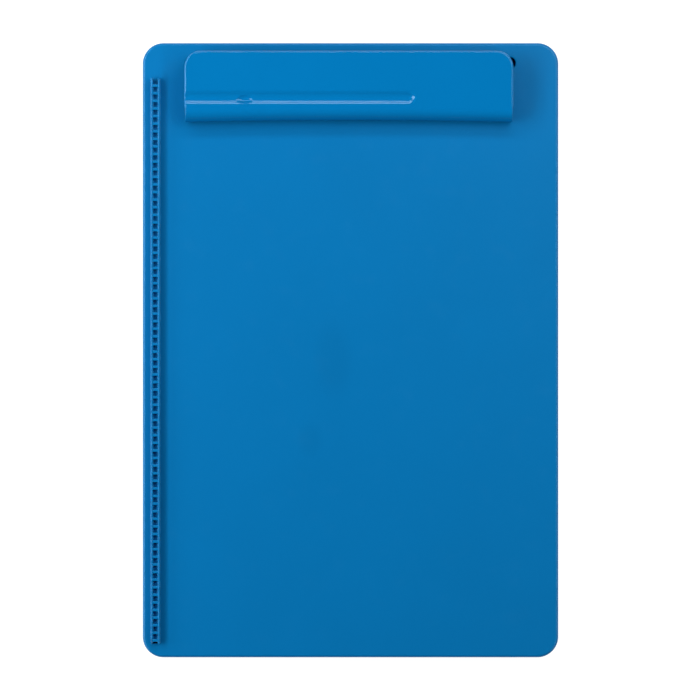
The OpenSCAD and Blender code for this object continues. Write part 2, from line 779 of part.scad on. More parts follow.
// Closed compression spring: a wire swept along a helix whose ends are wound flat
module clip_spring(side) {
    steps = 20;
    sides = 8;
    n = spring_turns * steps;
    rise = spring_h - 2 * wire_r - 0.1;
    function climb(t) = let (e = 0.75 / spring_turns) t < e ? 0 : t > 1 - e ? 1 : (t - e) / (1 - 2 * e);
    points = [for (i = [0:n], s = [0:sides - 1])
        let (a = 360 * i / steps, b = 360 * s / sides, r = spring_r + wire_r * cos(b))
        [r * cos(a), r * sin(a), wire_r + 0.05 + rise * climb(i / n) + wire_r * sin(b)]];
    walls = [for (i = [0:n - 1], s = [0:sides - 1])
        let (t = (s + 1) % sides) [i * sides + s, i * sides + t, (i + 1) * sides + t, (i + 1) * sides + s]];
    start = [for (s = [sides - 1:-1:0]) s];
    end = [for (s = [0:sides - 1]) n * sides + s];
    color("silver") translate([clip_shift + side * bracket_x, spring_y, z_board])
        polyhedron(points, concat(walls, [start, end]));
}

// Pan-head screws driven up through the board into the brackets
module clip_screws() {
    color("silver") at_brackets() for (side = [-1, 1])
        translate([side * boss_x, boss_y, z_under]) difference() {
            union() {
                cylinder(r = screw_r, h = clip_screw_l);
                translate([0, 0, -head_h]) cylinder(r = head_r, h = head_h);
            }
            for (a = [0, 90]) rotate(a) translate([-1.4, -0.35, -head_h - cut]) cube([2.8, 0.7, cut + 0.8]);
        }
}

lid_board();
tray();
hinge_pin(1);  // hinge_pin_upper
hinge_pin(-1);  // hinge_pin_lower
clip_lever();
jaw_pad();
clip_bracket(-1);  // clip_bracket_left
clip_bracket(1);  // clip_bracket_right
clip_rod();
rod_cap(-1);  // rod_cap_left
rod_cap(1);  // rod_cap_right
clip_spring(-1);  // clip_spring_left
clip_spring(1);  // clip_spring_right
clip_screws();
latch_slider();
latch_cover();
latch_screws();
foot(-1, 1);  // foot_upper_left
foot(1, 1);  // foot_upper_right
foot(-1, -1);  // foot_lower_left
foot(1, -1);  // foot_lower_right
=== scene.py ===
"""Storage clipboard box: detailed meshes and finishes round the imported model.

Sizes are in millimetres and meshes in metres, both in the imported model's own frame: X across the
board, Y along it towards the clip, Z up.
"""

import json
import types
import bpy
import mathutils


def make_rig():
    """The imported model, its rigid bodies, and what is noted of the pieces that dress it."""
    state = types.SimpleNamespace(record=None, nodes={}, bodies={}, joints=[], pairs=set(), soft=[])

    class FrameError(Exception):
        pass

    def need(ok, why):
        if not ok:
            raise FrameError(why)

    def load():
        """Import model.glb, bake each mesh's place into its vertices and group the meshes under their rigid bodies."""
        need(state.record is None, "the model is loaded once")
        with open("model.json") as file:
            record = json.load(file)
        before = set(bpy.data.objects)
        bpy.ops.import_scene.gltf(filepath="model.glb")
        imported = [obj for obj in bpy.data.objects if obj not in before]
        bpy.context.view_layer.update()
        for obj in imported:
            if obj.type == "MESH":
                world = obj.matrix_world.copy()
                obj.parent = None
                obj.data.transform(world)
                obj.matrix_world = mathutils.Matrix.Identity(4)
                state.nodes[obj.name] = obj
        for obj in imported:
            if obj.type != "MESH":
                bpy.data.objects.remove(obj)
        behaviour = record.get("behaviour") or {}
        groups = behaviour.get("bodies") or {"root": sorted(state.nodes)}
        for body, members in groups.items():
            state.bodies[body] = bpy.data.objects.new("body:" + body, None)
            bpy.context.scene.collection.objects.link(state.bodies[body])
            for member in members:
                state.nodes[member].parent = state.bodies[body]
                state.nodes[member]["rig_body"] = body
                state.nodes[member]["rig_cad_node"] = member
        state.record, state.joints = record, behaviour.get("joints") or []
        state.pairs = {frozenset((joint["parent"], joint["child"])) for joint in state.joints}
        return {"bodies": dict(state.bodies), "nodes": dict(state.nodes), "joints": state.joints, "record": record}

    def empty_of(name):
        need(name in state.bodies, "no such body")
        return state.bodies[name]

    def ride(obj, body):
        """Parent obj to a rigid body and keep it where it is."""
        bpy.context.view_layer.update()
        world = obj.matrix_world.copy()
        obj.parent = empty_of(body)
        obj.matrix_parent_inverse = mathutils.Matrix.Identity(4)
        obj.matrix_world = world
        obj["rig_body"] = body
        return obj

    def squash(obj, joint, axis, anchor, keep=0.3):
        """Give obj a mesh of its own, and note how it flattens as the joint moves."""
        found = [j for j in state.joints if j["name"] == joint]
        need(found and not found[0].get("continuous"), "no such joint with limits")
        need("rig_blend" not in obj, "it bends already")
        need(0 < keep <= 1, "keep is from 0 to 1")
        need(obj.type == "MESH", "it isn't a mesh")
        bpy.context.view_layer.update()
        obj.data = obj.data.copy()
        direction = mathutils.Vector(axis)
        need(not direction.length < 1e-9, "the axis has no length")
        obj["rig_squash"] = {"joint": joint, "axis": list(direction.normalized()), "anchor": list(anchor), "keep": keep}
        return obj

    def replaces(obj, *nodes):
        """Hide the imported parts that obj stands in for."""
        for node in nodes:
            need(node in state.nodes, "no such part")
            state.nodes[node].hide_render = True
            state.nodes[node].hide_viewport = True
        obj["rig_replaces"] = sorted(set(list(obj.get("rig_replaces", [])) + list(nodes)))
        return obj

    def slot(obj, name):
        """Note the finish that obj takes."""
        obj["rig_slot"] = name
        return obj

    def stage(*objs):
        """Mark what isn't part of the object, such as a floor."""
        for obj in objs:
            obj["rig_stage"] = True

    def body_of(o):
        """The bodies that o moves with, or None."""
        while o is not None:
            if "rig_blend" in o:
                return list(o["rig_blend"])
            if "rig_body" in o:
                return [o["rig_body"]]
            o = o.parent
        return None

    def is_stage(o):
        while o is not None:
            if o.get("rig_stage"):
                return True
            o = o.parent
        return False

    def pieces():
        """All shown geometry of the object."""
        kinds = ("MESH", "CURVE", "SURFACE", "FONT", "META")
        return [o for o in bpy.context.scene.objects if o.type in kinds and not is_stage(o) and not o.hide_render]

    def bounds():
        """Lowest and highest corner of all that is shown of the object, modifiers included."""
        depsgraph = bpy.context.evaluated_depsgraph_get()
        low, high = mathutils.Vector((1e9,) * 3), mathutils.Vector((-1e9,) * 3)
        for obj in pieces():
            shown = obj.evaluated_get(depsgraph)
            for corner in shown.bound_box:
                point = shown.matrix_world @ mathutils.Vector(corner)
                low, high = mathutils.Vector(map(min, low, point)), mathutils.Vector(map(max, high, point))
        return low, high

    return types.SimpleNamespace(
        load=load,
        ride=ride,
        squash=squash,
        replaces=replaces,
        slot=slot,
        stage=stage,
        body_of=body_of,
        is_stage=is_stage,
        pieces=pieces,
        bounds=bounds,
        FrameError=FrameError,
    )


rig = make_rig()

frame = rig.load()
CAD_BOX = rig.bounds()

import json
import logging
import math
from collections.abc import Callable, Iterable, Mapping, Sequence
from dataclasses import dataclass
from enum import Enum

import bmesh
import bpy
import numpy as np
from mathutils import Matrix, Vector

MM = 0.001  # one millimetre, in metres
TILE = 12  # grid steps within which flat faces are merged
SOFT = 0.3  # the mouldings' usual edge radius, in millimetres
SPARE = 0.4  # how far a grid goes beyond its solid, in millimetres
SIDES = (-1, 1)
SIZE_FILE = "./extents.json"
log = logging.getLogger("clipboard_box")

Array = np.ndarray
Object = bpy.types.Object
Pair = tuple[float, float]
Point = tuple[float, float, float]
Rgb = tuple[float, float, float]
Inputs = Mapping[str | int, object]


class Body(Enum):
    """The bodies that pieces ride on."""

    BASE = "base"
    LID = "lid"
    CLIP = "clip"
    LATCH = "latch"


class Slot(Enum):
    """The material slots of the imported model."""

    BOARD = "board_plastic"
    TRAY = "tray_plastic"
    CLIP = "clip_plastic"
    RUBBER = "rubber"
    STEEL = "steel"
    SPRING = "spring_steel"


class Axis(Enum):
    """One axis of the frame, by its index."""

    X = 0
    Y = 1
    Z = 2

    @property
    def others(self) -> list[int]:
        """Indices of the other two axes, in order."""
        return [k for k in range(3) if k != self.value]


# ---------------------------------------------------------------- solids


def soft_max(a: Array, b: Array, radius: float) -> Array:
    """Larger of two distances, which rounds the outer edge where their solids meet.

    Args:
        a: First distance.
        b: Second distance.
        radius: Radius of the rounded edge.

    Returns:
        Distance to what the two solids share.
    """
    if radius <= 0:
        return np.maximum(a, b)
    corner = np.hypot(np.maximum(radius + a, 0), np.maximum(radius + b, 0))
    return np.minimum(-radius, np.maximum(a, b)) + corner


class Solid:
    """A solid given by its signed distance, which is negative inside."""

    def __init__(self, distance: Callable[[Array, Array, Array], Array]) -> None:
        """Keeps the function of x, y and z that gives the distance."""
        self.distance = distance

    def keep(self, other: "Solid", edge: float = 0.0) -> "Solid":
        """What this solid shares with another, with a rounded edge where their surfaces meet."""
        return Solid(lambda *p: soft_max(self.distance(*p), other.distance(*p), edge))

    def cut(self, other: "Solid", edge: float = 0.0) -> "Solid":
        """This solid without another, with a rounded edge round the cut."""
        return Solid(lambda *p: soft_max(self.distance(*p), -other.distance(*p), edge))

    def join(self, other: "Solid", fillet: float = 0.0) -> "Solid":
        """This solid with another, with a fillet where their surfaces meet."""
        return Solid(lambda *p: -soft_max(-self.distance(*p), -other.distance(*p), fillet))

    def moved(self, dx: float = 0.0, dy: float = 0.0, dz: float = 0.0) -> "Solid":
        """This solid moved along each axis."""
        return Solid(lambda x, y, z: self.distance(x - dx, y - dy, z - dz))


Part = tuple[Solid, list[Array]]


def union(solids: Iterable[Solid]) -> Solid:
    """All the solids as one.

    Args:
        solids: The solids.

    Returns:
        One solid.
    """
    whole, *others = solids
    for other in others:
        whole = whole.join(other)
    return whole


def above(axis: Axis, at: float) -> Solid:
    """Everything beyond a plane across one axis."""
    return Solid(lambda *p: at - p[axis.value])


def below(axis: Axis, at: float) -> Solid:
    """Everything before a plane across one axis."""
    return Solid(lambda *p: p[axis.value] - at)


def span(axis: Axis, low: float, high: float, edge: float = 0.0) -> Solid:
    """Everything between two planes across one axis."""
    return above(axis, low).keep(below(axis, high), edge)


def panel(width: float, length: float, radius: float, at: Pair = (0.0, 0.0), axis: Axis = Axis.Z) -> Solid:
    """Endless prism over a rectangle with round corners.

    Args:
        width: Size along the first of the other two axes.
        length: Size along the second.
        radius: Radius of the corners.
        at: Its middle on those two axes.
        axis: Axis that it runs along.

    Returns:
        The prism.
    """
    first, second = axis.others

    def distance(*p: Array) -> Array:
        """Distance to the prism's walls."""
        a = np.abs(p[first] - at[0]) - width / 2 + radius
        b = np.abs(p[second] - at[1]) - length / 2 + radius
        return np.hypot(np.maximum(a, 0), np.maximum(b, 0)) + np.minimum(np.maximum(a, b), 0) - radius

    return Solid(distance)


def block(x: Pair, y: Pair, z: Pair, edge: float = 0.0) -> Solid:
    """Box between two planes along each axis, with rounded edges."""
    return span(Axis.X, *x).keep(span(Axis.Y, *y), edge).keep(span(Axis.Z, *z), edge)


def plate(axis: Axis, ends: Pair, first: Pair, second: Pair, corner: float, edge: float = 0.0) -> Solid:
    """Plate across one axis, with round corners and rounded edges.

    Args:
        axis: Axis that it lies across.
        ends: Its two faces.
        first: From and to on the first of the other two axes.
        second: From and to on the second.
        corner: Radius of its corners.
        edge: Radius of its edges.

    Returns:
        The plate.
    """
    middle = (sum(first) / 2, sum(second) / 2)
    walls = panel(first[1] - first[0], second[1] - second[0], corner, middle, axis)
    return walls.keep(span(axis, *ends), edge)


def bar(axis: Axis, at: Pair, radius: float) -> Solid:
    """Endless round bar along one axis, at a place on the other two in their order."""
    first, second = axis.others
    return Solid(lambda *p: np.hypot(p[first] - at[0], p[second] - at[1]) - radius)


def stub(axis: Axis, at: Pair, radius: float, ends: Pair, edge: float = 0.0) -> Solid:
    """Round bar along one axis between two ends, with rounded rims."""
    return bar(axis, at, radius).keep(span(axis, *ends), edge)


def near(reach: float, step: float, *middles: float) -> list[Point]:
    """Places for grid_lines, within a reach of some positions."""
    return [(middle - reach, middle + reach, step) for middle in middles]


def at_ends(half: float, reach: float, step: float) -> list[Point]:
    """Places for grid_lines, at both ends of a length round zero."""
    return [(-half, reach - half, step), (half - reach, half, step)]


def grid_lines(
    low: float, high: float, coarse: float, places: Iterable[Point] = (), spare: float = SPARE
) -> Array:
    """Positions of the grid's planes along one axis, closer together where the shape bends.

    Args:
        low: The shape's low end.
        high: Its high end.
        coarse: Widest step between two planes.
        places: Where the planes are close: from, to, and the step there.
        spare: How far the grid goes beyond the shape.

    Returns:
        The positions, in order.
    """
    growth, tick = 0.45, 0.02
    low, high = low - spare, high + spare
    ticks = np.linspace(low, high, int((high - low) / tick) + 2)
    step = np.full_like(ticks, coarse)
    for start, end, close in places:
        away = np.maximum(np.maximum(start - ticks, ticks - end), 0)
        step = np.minimum(step, close + growth * away)
    count = np.concatenate([[0], np.cumsum(np.diff(ticks) * 0.5 * (1 / step[1:] + 1 / step[:-1]))])
    return np.interp(np.linspace(0, count[-1], math.ceil(count[-1]) + 1), count, ticks)


def slope_at(solid: Solid, points: Array) -> Array:
    """Gradient of a solid's distance at some points.

    Args:
        solid: The solid.
        points: The points, one in each row.

    Returns:
        The gradient at each point.
    """
    nudge = 1e-3
    steps = np.eye(3) * nudge
    pairs = [solid.distance(*(points + s).T) - solid.distance(*(points - s).T) for s in steps]
    return np.stack(pairs, axis=1) / (2 * nudge)


def skin(solid: Solid, lines: Sequence[Array]) -> tuple[Array, Array, Array]:
    """Closed skin of quads round a solid: one point in each cell that the surface crosses.

    Args:
        solid: The solid.
        lines: Positions of the grid's planes along X, Y and Z.

    Returns:
        The points, four point numbers for each face, and the number of each face's tile. Faces of
        neighbouring tiles have different numbers.
    """
    shape = tuple(len(line) for line in lines)
    cells = tuple(n - 1 for n in shape)
    values = np.broadcast_to(solid.distance(*np.ix_(*lines)), shape)
    inside = values < 0
    total = np.zeros((3, math.prod(cells)))
    count = np.zeros(math.prod(cells))
    faces, tiles = [], []
    for axis in Axis:
        across = axis.value
        lower = inside.take(range(shape[across] - 1), across)
        upper = inside.take(range(1, shape[across]), across)
        edges = np.argwhere(lower != upper)
        far = edges.copy()
        far[:, across] += 1
        a, b = values[tuple(edges.T)], values[tuple(far.T)]
        where = np.stack([lines[k][edges[:, k]] for k in range(3)])
        where[across] += a / (a - b) * (lines[across][far[:, across]] - where[across])
        first, second = axis.others
        ring = []
        for back in ((1, 1), (0, 1), (0, 0), (1, 0)):
            cell = edges.copy()
            cell[:, first] -= back[0]
            cell[:, second] -= back[1]
            ring.append(np.ravel_multi_index(cell.T, cells))
            total += [np.bincount(ring[-1], w, len(count)) for w in where]
            count += np.bincount(ring[-1], minlength=len(count))
        quads = np.stack(ring, axis=1)
        turned = (a > 0) != (axis is Axis.Y)
        quads[turned] = quads[turned][:, ::-1]
        faces.append(quads)
        tiles.append(across * 9 + edges[:, first] // TILE % 3 * 3 + edges[:, second] // TILE % 3)
    used, quads = np.unique(np.concatenate(faces), return_inverse=True)
    points = (total[:, used] / count[used]).T
    pulls, farthest = 5, 0.4
    for _ in range(pulls):
        slope = slope_at(solid, points)
        shift = solid.distance(*points.T) / np.maximum((slope**2).sum(1), 0.1)
        points -= np.clip(shift, -farthest, farthest)[:, None] * slope
    return points, quads.reshape(-1, 4), np.concatenate(tiles)


# ---------------------------------------------------------------- meshes


def shifted(made: Object, dx: float, dy: float, dz: float) -> Object:
    """Moves an object's mesh, by millimetres."""
    made.data.transform(Matrix.Translation((dx * MM, dy * MM, dz * MM)))
    return made


def mesh_object(name: str, points: Sequence | Array, faces: Iterable[Sequence[int]]) -> Object:
    """New object at the origin.

    Args:
        name: The object's name.
        points: Its points, in millimetres.
        faces: Point numbers of each face.

    Returns:
        The object, in metres.
    """
    mesh = bpy.data.meshes.new(name)
    mesh.from_pydata((np.asarray(points) * MM).tolist(), [], [list(map(int, f)) for f in faces])
    mesh.update()
    made = bpy.data.objects.new(name, mesh)
    bpy.context.scene.collection.objects.link(made)
    return made


def moulded(name: str, parts: Iterable[Part], at: Point = (0.0, 0.0, 0.0)) -> Object:
    """Smooth mesh of a moulding: its flat faces are merged, and its normals are the solid's own.

    Args:
        name: The object's name.
        parts: Each solid of the moulding, with its grid.
        at: Where the solids' own zero lies.

    Returns:
        The object.
    """
    points, faces, owners, solids, tiles = [], [], [], [], []
    for solid, lines in parts:
        solids.append(solid.moved(*at))
        grid = [line + move for line, move in zip(lines, at)]
        skin_points, quads, skin_tiles = skin(solids[-1], grid)
        tiles.append(skin_tiles)
        faces.append(quads + sum(len(p) for p in points))
        points.append(skin_points)
        owners.append(np.full(len(skin_points), len(solids) - 1))
    made = mesh_object(name, np.concatenate(points), np.concatenate(faces))
    mesh = made.data
    owner = mesh.attributes.new("solid", "INT", "POINT")
    owner.data.foreach_set("value", np.concatenate(owners).astype(np.int32))
    mesh.polygons.foreach_set("material_index", np.concatenate(tiles).astype(np.int32))
    work = bmesh.new()
    work.from_mesh(mesh)
    bmesh.ops.dissolve_limit(
        work, angle_limit=math.radians(0.4), verts=work.verts, edges=work.edges, delimit={"MATERIAL"}
    )
    work.to_mesh(mesh)
    work.free()
    mesh.polygons.foreach_set("material_index", np.zeros(len(mesh.polygons), np.int32))
    flat = np.empty(len(mesh.vertices) * 3)
    mesh.vertices.foreach_get("co", flat)
    flat = flat.reshape(-1, 3) / MM
    which = np.empty(len(mesh.vertices), np.int32)
    mesh.attributes["solid"].data.foreach_get("value", which)
    normals = np.empty_like(flat)
    for number, solid in enumerate(solids):
        normals[which == number] = slope_at(solid, flat[which == number])
    normals /= np.linalg.norm(normals, axis=1, keepdims=True)
    mesh.attributes.remove(mesh.attributes["solid"])
    mesh.shade_smooth()
    mesh.normals_split_custom_set_from_vertices(normals.tolist())
    return made


def smooth(made: Object, degrees: float = 30.0) -> Object:
    """Shades an object smooth, apart from edges sharper than an angle."""
    made.data.shade_smooth()
    made.data.set_sharp_from_angle(angle=math.radians(degrees))
    return made


def lathe(name: str, outline: Sequence[Pair], axis: Axis, centre: Point, sides: int = 48) -> Object:
    """Turned piece: an outline that starts and ends on the axis, spun round it.

    Args:
        name: The object's name.
        outline: Radius and place along the axis of each point, from the low end to the high end.
        axis: Axis that the piece is turned on.
        centre: Where the outline's zero lies.
        sides: Number of flats round it.

    Returns:
        The object.
    """
    first, second = [(axis.value + k) % 3 for k in (1, 2)]
    rings = []
    points = []
    for radius, along in outline:
        steps = range(1 if radius == 0 else sides)
        rings.append([len(points) + s for s in steps])
        for s in steps:
            angle = 2 * math.pi * s / sides
            point = list(centre)
            point[axis.value] += along
            point[first] += radius * math.cos(angle)
            point[second] += radius * math.sin(angle)
            points.append(point)
    faces = []
    for low, high in zip(rings, rings[1:]):
        for s in range(sides):
            t = (s + 1) % sides
            corners = [low[s % len(low)], low[t % len(low)], high[t % len(high)], high[s % len(high)]]
            faces.append(list(dict.fromkeys(corners)))
    return smooth(mesh_object(name, points, faces))


def rod(name: str, radius: float, half: float, chamfer: float, axis: Axis, centre: Point) -> Object:
    """Straight pin with a chamfer at both ends.

    Args:
        name: The object's name.
        radius: Its radius.
        half: Half its length.
        chamfer: Size of the chamfers.
        axis: Axis that it lies along.
        centre: Its middle.

    Returns:
        The object.
    """
    lower = [(0.0, -half), (radius - chamfer, -half), (radius, chamfer - half)]
    return lathe(name, lower + [(r, -along) for r, along in lower[::-1]], axis, centre, 32)


def prism(name: str, outline: Sequence[Pair], axis: Axis, ends: Pair) -> Object:
    """Straight piece with the same outline all along one axis.

    Args:
        name: The object's name.
        outline: The outline's points on the next two axes in turn, anticlockwise.
        axis: Axis that it runs along.
        ends: Where it starts and ends.

    Returns:
        The object.
    """
    first, second = [(axis.value + k) % 3 for k in (1, 2)]
    n = len(outline)
    points = np.zeros((2 * n, 3))
    for k, end in enumerate(ends):
        rows = slice(k * n, (k + 1) * n)
        points[rows, axis.value] = end
        points[rows, (first, second)] = outline
    sides = [[k, (k + 1) % n, n + (k + 1) % n, n + k] for k in range(n)]
    return smooth(mesh_object(name, points, [*sides, list(range(n))[::-1], list(range(n, 2 * n))]))


# ---------------------------------------------------------------- nodes


class Value:
    """A number in a node tree. Operators between values add Math nodes."""

    def __init__(self, kit: "Kit", socket: bpy.types.NodeSocket) -> None:
        self.kit = kit
        self.socket = socket

    def math(self, operation: str, *others: "Value | float", clamp: bool = False) -> "Value":
        """Adds one Math node, with this value and the others as its inputs."""
        inputs = dict(enumerate((self, *others)))
        return self.kit.value("ShaderNodeMath", inputs, operation=operation, use_clamp=clamp)

    def __add__(self, other: "Value | float") -> "Value":
        """Sum."""
        return self.math("ADD", other)

    __radd__ = __add__

    def __sub__(self, other: "Value | float") -> "Value":
        """Difference."""
        return self.math("SUBTRACT", other)

    def __rsub__(self, other: float) -> "Value":
        """Difference, from a number."""
        return self.math("MULTIPLY", -1.0).math("ADD", other)

    def __mul__(self, other: "Value | float") -> "Value":
        """Product."""
        return self.math("MULTIPLY", other)

    def __truediv__(self, other: "Value | float") -> "Value":
        """Quotient."""
        return self.math("DIVIDE", other)

    def ease(self, low: float, high: float, start: float = 0.0, end: float = 1.0) -> "Value":
        """Smooth step from start to end while this value goes from low to high."""
        inputs = {"Value": self, "From Min": low, "From Max": high, "To Min": start, "To Max": end}
        return self.kit.value("ShaderNodeMapRange", inputs, "Result", interpolation_type="SMOOTHSTEP")


class Kit:
    """Adds nodes to one tree and links them."""

    def __init__(self, tree: bpy.types.NodeTree) -> None:
        """Keeps the tree."""
        self.tree = tree

    def node(self, kind: str, inputs: Inputs | None = None, **settings: object) -> bpy.types.Node:
        """Adds a node, sets it up and links it.

        Args:
            kind: The node's type.
            inputs: A value, link or constant for each socket that isn't left as it is.
            settings: The node's own settings, which are set first.

        Returns:
            The node.
        """
        made = self.tree.nodes.new(kind)
        for name, setting in settings.items():
            setattr(made, name, setting)
        for name, given in (inputs or {}).items():
            source = given.socket if isinstance(given, Value) else given
            if isinstance(source, bpy.types.NodeSocket):
                self.tree.links.new(source, made.inputs[name])
            else:
                made.inputs[name].default_value = source
        return made

    def link(
        self, kind: str, inputs: Inputs | None = None, output: str | int = 0, **settings: object
    ) -> bpy.types.NodeSocket:
        """Adds a node and gives one of its outputs."""
        return self.node(kind, inputs, **settings).outputs[output]

    def value(
        self, kind: str, inputs: Inputs | None = None, output: str | int = 0, **settings: object
    ) -> Value:
        """Adds a node and gives one of its outputs as a value."""
        return Value(self, self.link(kind, inputs, output, **settings))

    def spread(self) -> None:
        """Lays the nodes out in rows, so that the tree can be read."""
        for number, made in enumerate(self.tree.nodes):
            made.location = (220 * (number % 8), -260 * (number // 8))


class Recipe(Kit):
    """A geometry node tree with named inputs, which turns an object's mesh into a new one."""

    KINDS = {
        int: "NodeSocketInt",
        float: "NodeSocketFloat",
        tuple: "NodeSocketVector",
        bpy.types.Material: "NodeSocketMaterial",
    }

    def __init__(self, name: str, sizes: Mapping[str, object]) -> None:
        """Makes the tree and its inputs.

        Args:
            name: The tree's name.
            sizes: Name and value of each input.
        """
        super().__init__(bpy.data.node_groups.new(name, "GeometryNodeTree"))
        self.sizes = dict(sizes)
        sockets = self.tree.interface
        sockets.new_socket("Geometry", in_out="INPUT", socket_type="NodeSocketGeometry")
        for label, size in self.sizes.items():
            kind = next(socket for plain, socket in self.KINDS.items() if isinstance(size, plain))
            sockets.new_socket(label, in_out="INPUT", socket_type=kind)
        sockets.new_socket("Geometry", in_out="OUTPUT", socket_type="NodeSocketGeometry")
        self.start = self.tree.nodes.new("NodeGroupInput")

    def size(self, label: str) -> Value:
        """One of the named inputs."""
        return Value(self, self.start.outputs[label])

    def finish(self, geometry: bpy.types.NodeSocket) -> None:
        """Ends the tree: real meshes, in the material given.

        Args:
            geometry: What the tree has made.
        """
        real = self.link("GeometryNodeRealizeInstances", {"Geometry": geometry})
        dressed = self.link("GeometryNodeSetMaterial", {"Geometry": real, "Material": self.size("Material")})
        self.node("NodeGroupOutput", {"Geometry": dressed})
        self.spread()

    def run(self, made: Object) -> Object:
        """Runs the tree on an object and keeps the result as its plain mesh.

        Args:
            made: The object, whose mesh is the tree's geometry.

        Returns:
            The same object.
        """
        modifier = made.modifiers.new(self.tree.name, "NODES")
        modifier.node_group = self.tree
        for item in self.tree.interface.items_tree:
            if item.in_out == "INPUT" and item.name in self.sizes:
                modifier[item.identifier] = self.sizes[item.name]
        graph = bpy.context.evaluated_depsgraph_get()
        evaluated = made.evaluated_get(graph)
        made_mesh = bpy.data.meshes.new_from_object(evaluated, preserve_all_data_layers=True, depsgraph=graph)
        made.modifiers.remove(modifier)
        made.data = made_mesh
        made.data.name = made.name
        return made


def row(made: Object, count: int, step: Point, material: bpy.types.Material) -> Object:
    """Repeats an object's mesh in a straight row, by a geometry node tree.

    Args:
        made: The object.
        count: How many there are.
        step: Offset from each to the next.
        material: Their material.

    Returns:
        The same object, with all of them.
    """
    sizes = {"Count": count, "Step": tuple(s * MM for s in step), "Material": material}
    recipe = Recipe(f"{made.name}_row", sizes)
    spots = {"Count": recipe.size("Count"), "Offset": recipe.size("Step")}
    line = recipe.link("GeometryNodeMeshLine", spots, mode="OFFSET")
    copies = {"Points": line, "Instance": recipe.start.outputs["Geometry"]}
    recipe.finish(recipe.link("GeometryNodeInstanceOnPoints", copies))
    return recipe.run(made)


# ---------------------------------------------------------------- finishes


class Shader(Kit):
    """The node tree of one material."""

    def __init__(self, name: str) -> None:
        """Makes the material, with one Principled BSDF.

        Args:
            name: The material's name.
        """
        self.material = bpy.data.materials.new(name)
        self.material.use_nodes = True
        super().__init__(self.material.node_tree)
        self.surface = next(n for n in self.tree.nodes if n.type == "BSDF_PRINCIPLED")
        self.place = self.link("ShaderNodeTexCoord", output="Object")

    def constants(self, settings: Mapping[str, object]) -> None:
        """Sets what is the same all over the surface."""
        for name, setting in settings.items():
            self.surface.inputs[name].default_value = setting

    def feed(self, name: str, source: "Value | bpy.types.NodeSocket") -> None:
        """Links something that varies over the surface to one of its inputs."""
        self.tree.links.new(source.socket if isinstance(source, Value) else source, self.surface.inputs[name])

    def noise(self, size: float, detail: float = 2.0, stretch: Point = (1.0, 1.0, 1.0)) -> Value:
        """Noise round 0.5.

        Args:
            size: Size of its patches, in millimetres.
            detail: How many finer layers it has.
            stretch: How much longer the patches are along each axis.

        Returns:
            The noise.
        """
        squeeze = {"Vector": self.place, "Scale": tuple(1 / s for s in stretch)}
        place = self.link("ShaderNodeMapping", squeeze)
        sizes = {"Vector": place, "Scale": 1 / (size * MM), "Detail": detail}
        return self.value("ShaderNodeTexNoise", sizes, "Fac")

    def blend(self, factor: Value, low: Rgb, high: Rgb) -> bpy.types.NodeSocket:
        """Colour between two others."""
        inputs = {"Factor": factor, 6: (*low, 1.0), 7: (*high, 1.0)}
        return self.link("ShaderNodeMix", inputs, 2, data_type="RGBA")

    def relief(self, height: Value, depth: float) -> None:
        """Bumps the surface by a relief from 0 to 1, whose full depth is in millimetres."""
        bump = {"Height": height, "Distance": depth * MM, "Strength": 1.0}
        self.feed("Normal", self.link("ShaderNodeBump", bump, "Normal"))

    def done(self) -> bpy.types.Material:
        """Lays out the tree and gives the material."""
        self.spread()
        return self.material


def tinted(colour: Rgb, gain: float) -> Rgb:
    """A colour made lighter or darker."""
    return tuple(min(1.0, c * gain) for c in colour)


@dataclass(frozen=True)
class FlowMark:
    """Faint oval where the plastic flowed into the mould, slightly darker than the rest."""

    at: Point
    half: Pair
    depth: float

    def shade(self, kit: Shader) -> Value:
        """How much darker each place is.

        Args:
            kit: The material's node tree.

        Returns:
            The mark's depth in its middle, falling to 0 round it.
        """
        squeeze = (1 / (self.half[0] * MM), 1 / (self.half[1] * MM), 0.0)
        away = kit.place
        for operation, by in (("SUBTRACT", tuple(c * MM for c in self.at)), ("MULTIPLY", squeeze)):
            away = kit.link("ShaderNodeVectorMath", {0: away, 1: by}, "Vector", operation=operation)
        oval = kit.value("ShaderNodeVectorMath", {0: away}, "Value", operation="LENGTH")
        return oval.ease(0.5, 1.5, self.depth, 0.0)


@dataclass(frozen=True)
class MouldedPlastic:
    """Coloured moulded plastic, from satin to gloss.

    The spark-eroded grain of the mould shows as fine pits, and the colour wanders a little.
    """

    name: str
    colour: Rgb
    roughness: float
    grain: float = 0.55
    pit: float = 0.004
    ripple: float = 0.0
    sheen_tint: Rgb = (0.4, 0.76, 1.0)
    marks: tuple[FlowMark, ...] = ()

    def build(self) -> bpy.types.Material:
        """Makes the material.

        Returns:
            The material.
        """
        kit = Shader(self.name)
        kit.constants({"IOR": 1.49, "Specular Tint": (*self.sheen_tint, 1.0)})
        grain = kit.noise(self.grain, 3.0)
        clouds = kit.noise(38.0, 2.0)
        speckle = kit.noise(1.7, 1.0)
        shade = 0.5 + (clouds - 0.5) * 0.55 + (speckle - 0.5) * 0.18 + (grain - 0.5) * 0.22
        for mark in self.marks:
            shade = shade - mark.shade(kit)
        kit.feed("Base Color", kit.blend(shade, tinted(self.colour, 0.94), tinted(self.colour, 1.06)))
        rubbed = kit.noise(9.0, 4.0).ease(0.52, 0.78)
        kit.feed("Roughness", (1 + (grain - 0.5) * 0.24 + rubbed * 0.12) * self.roughness)
        kit.relief(grain + kit.noise(14.0, 0.0) * self.ripple, self.pit)
        return kit.done()


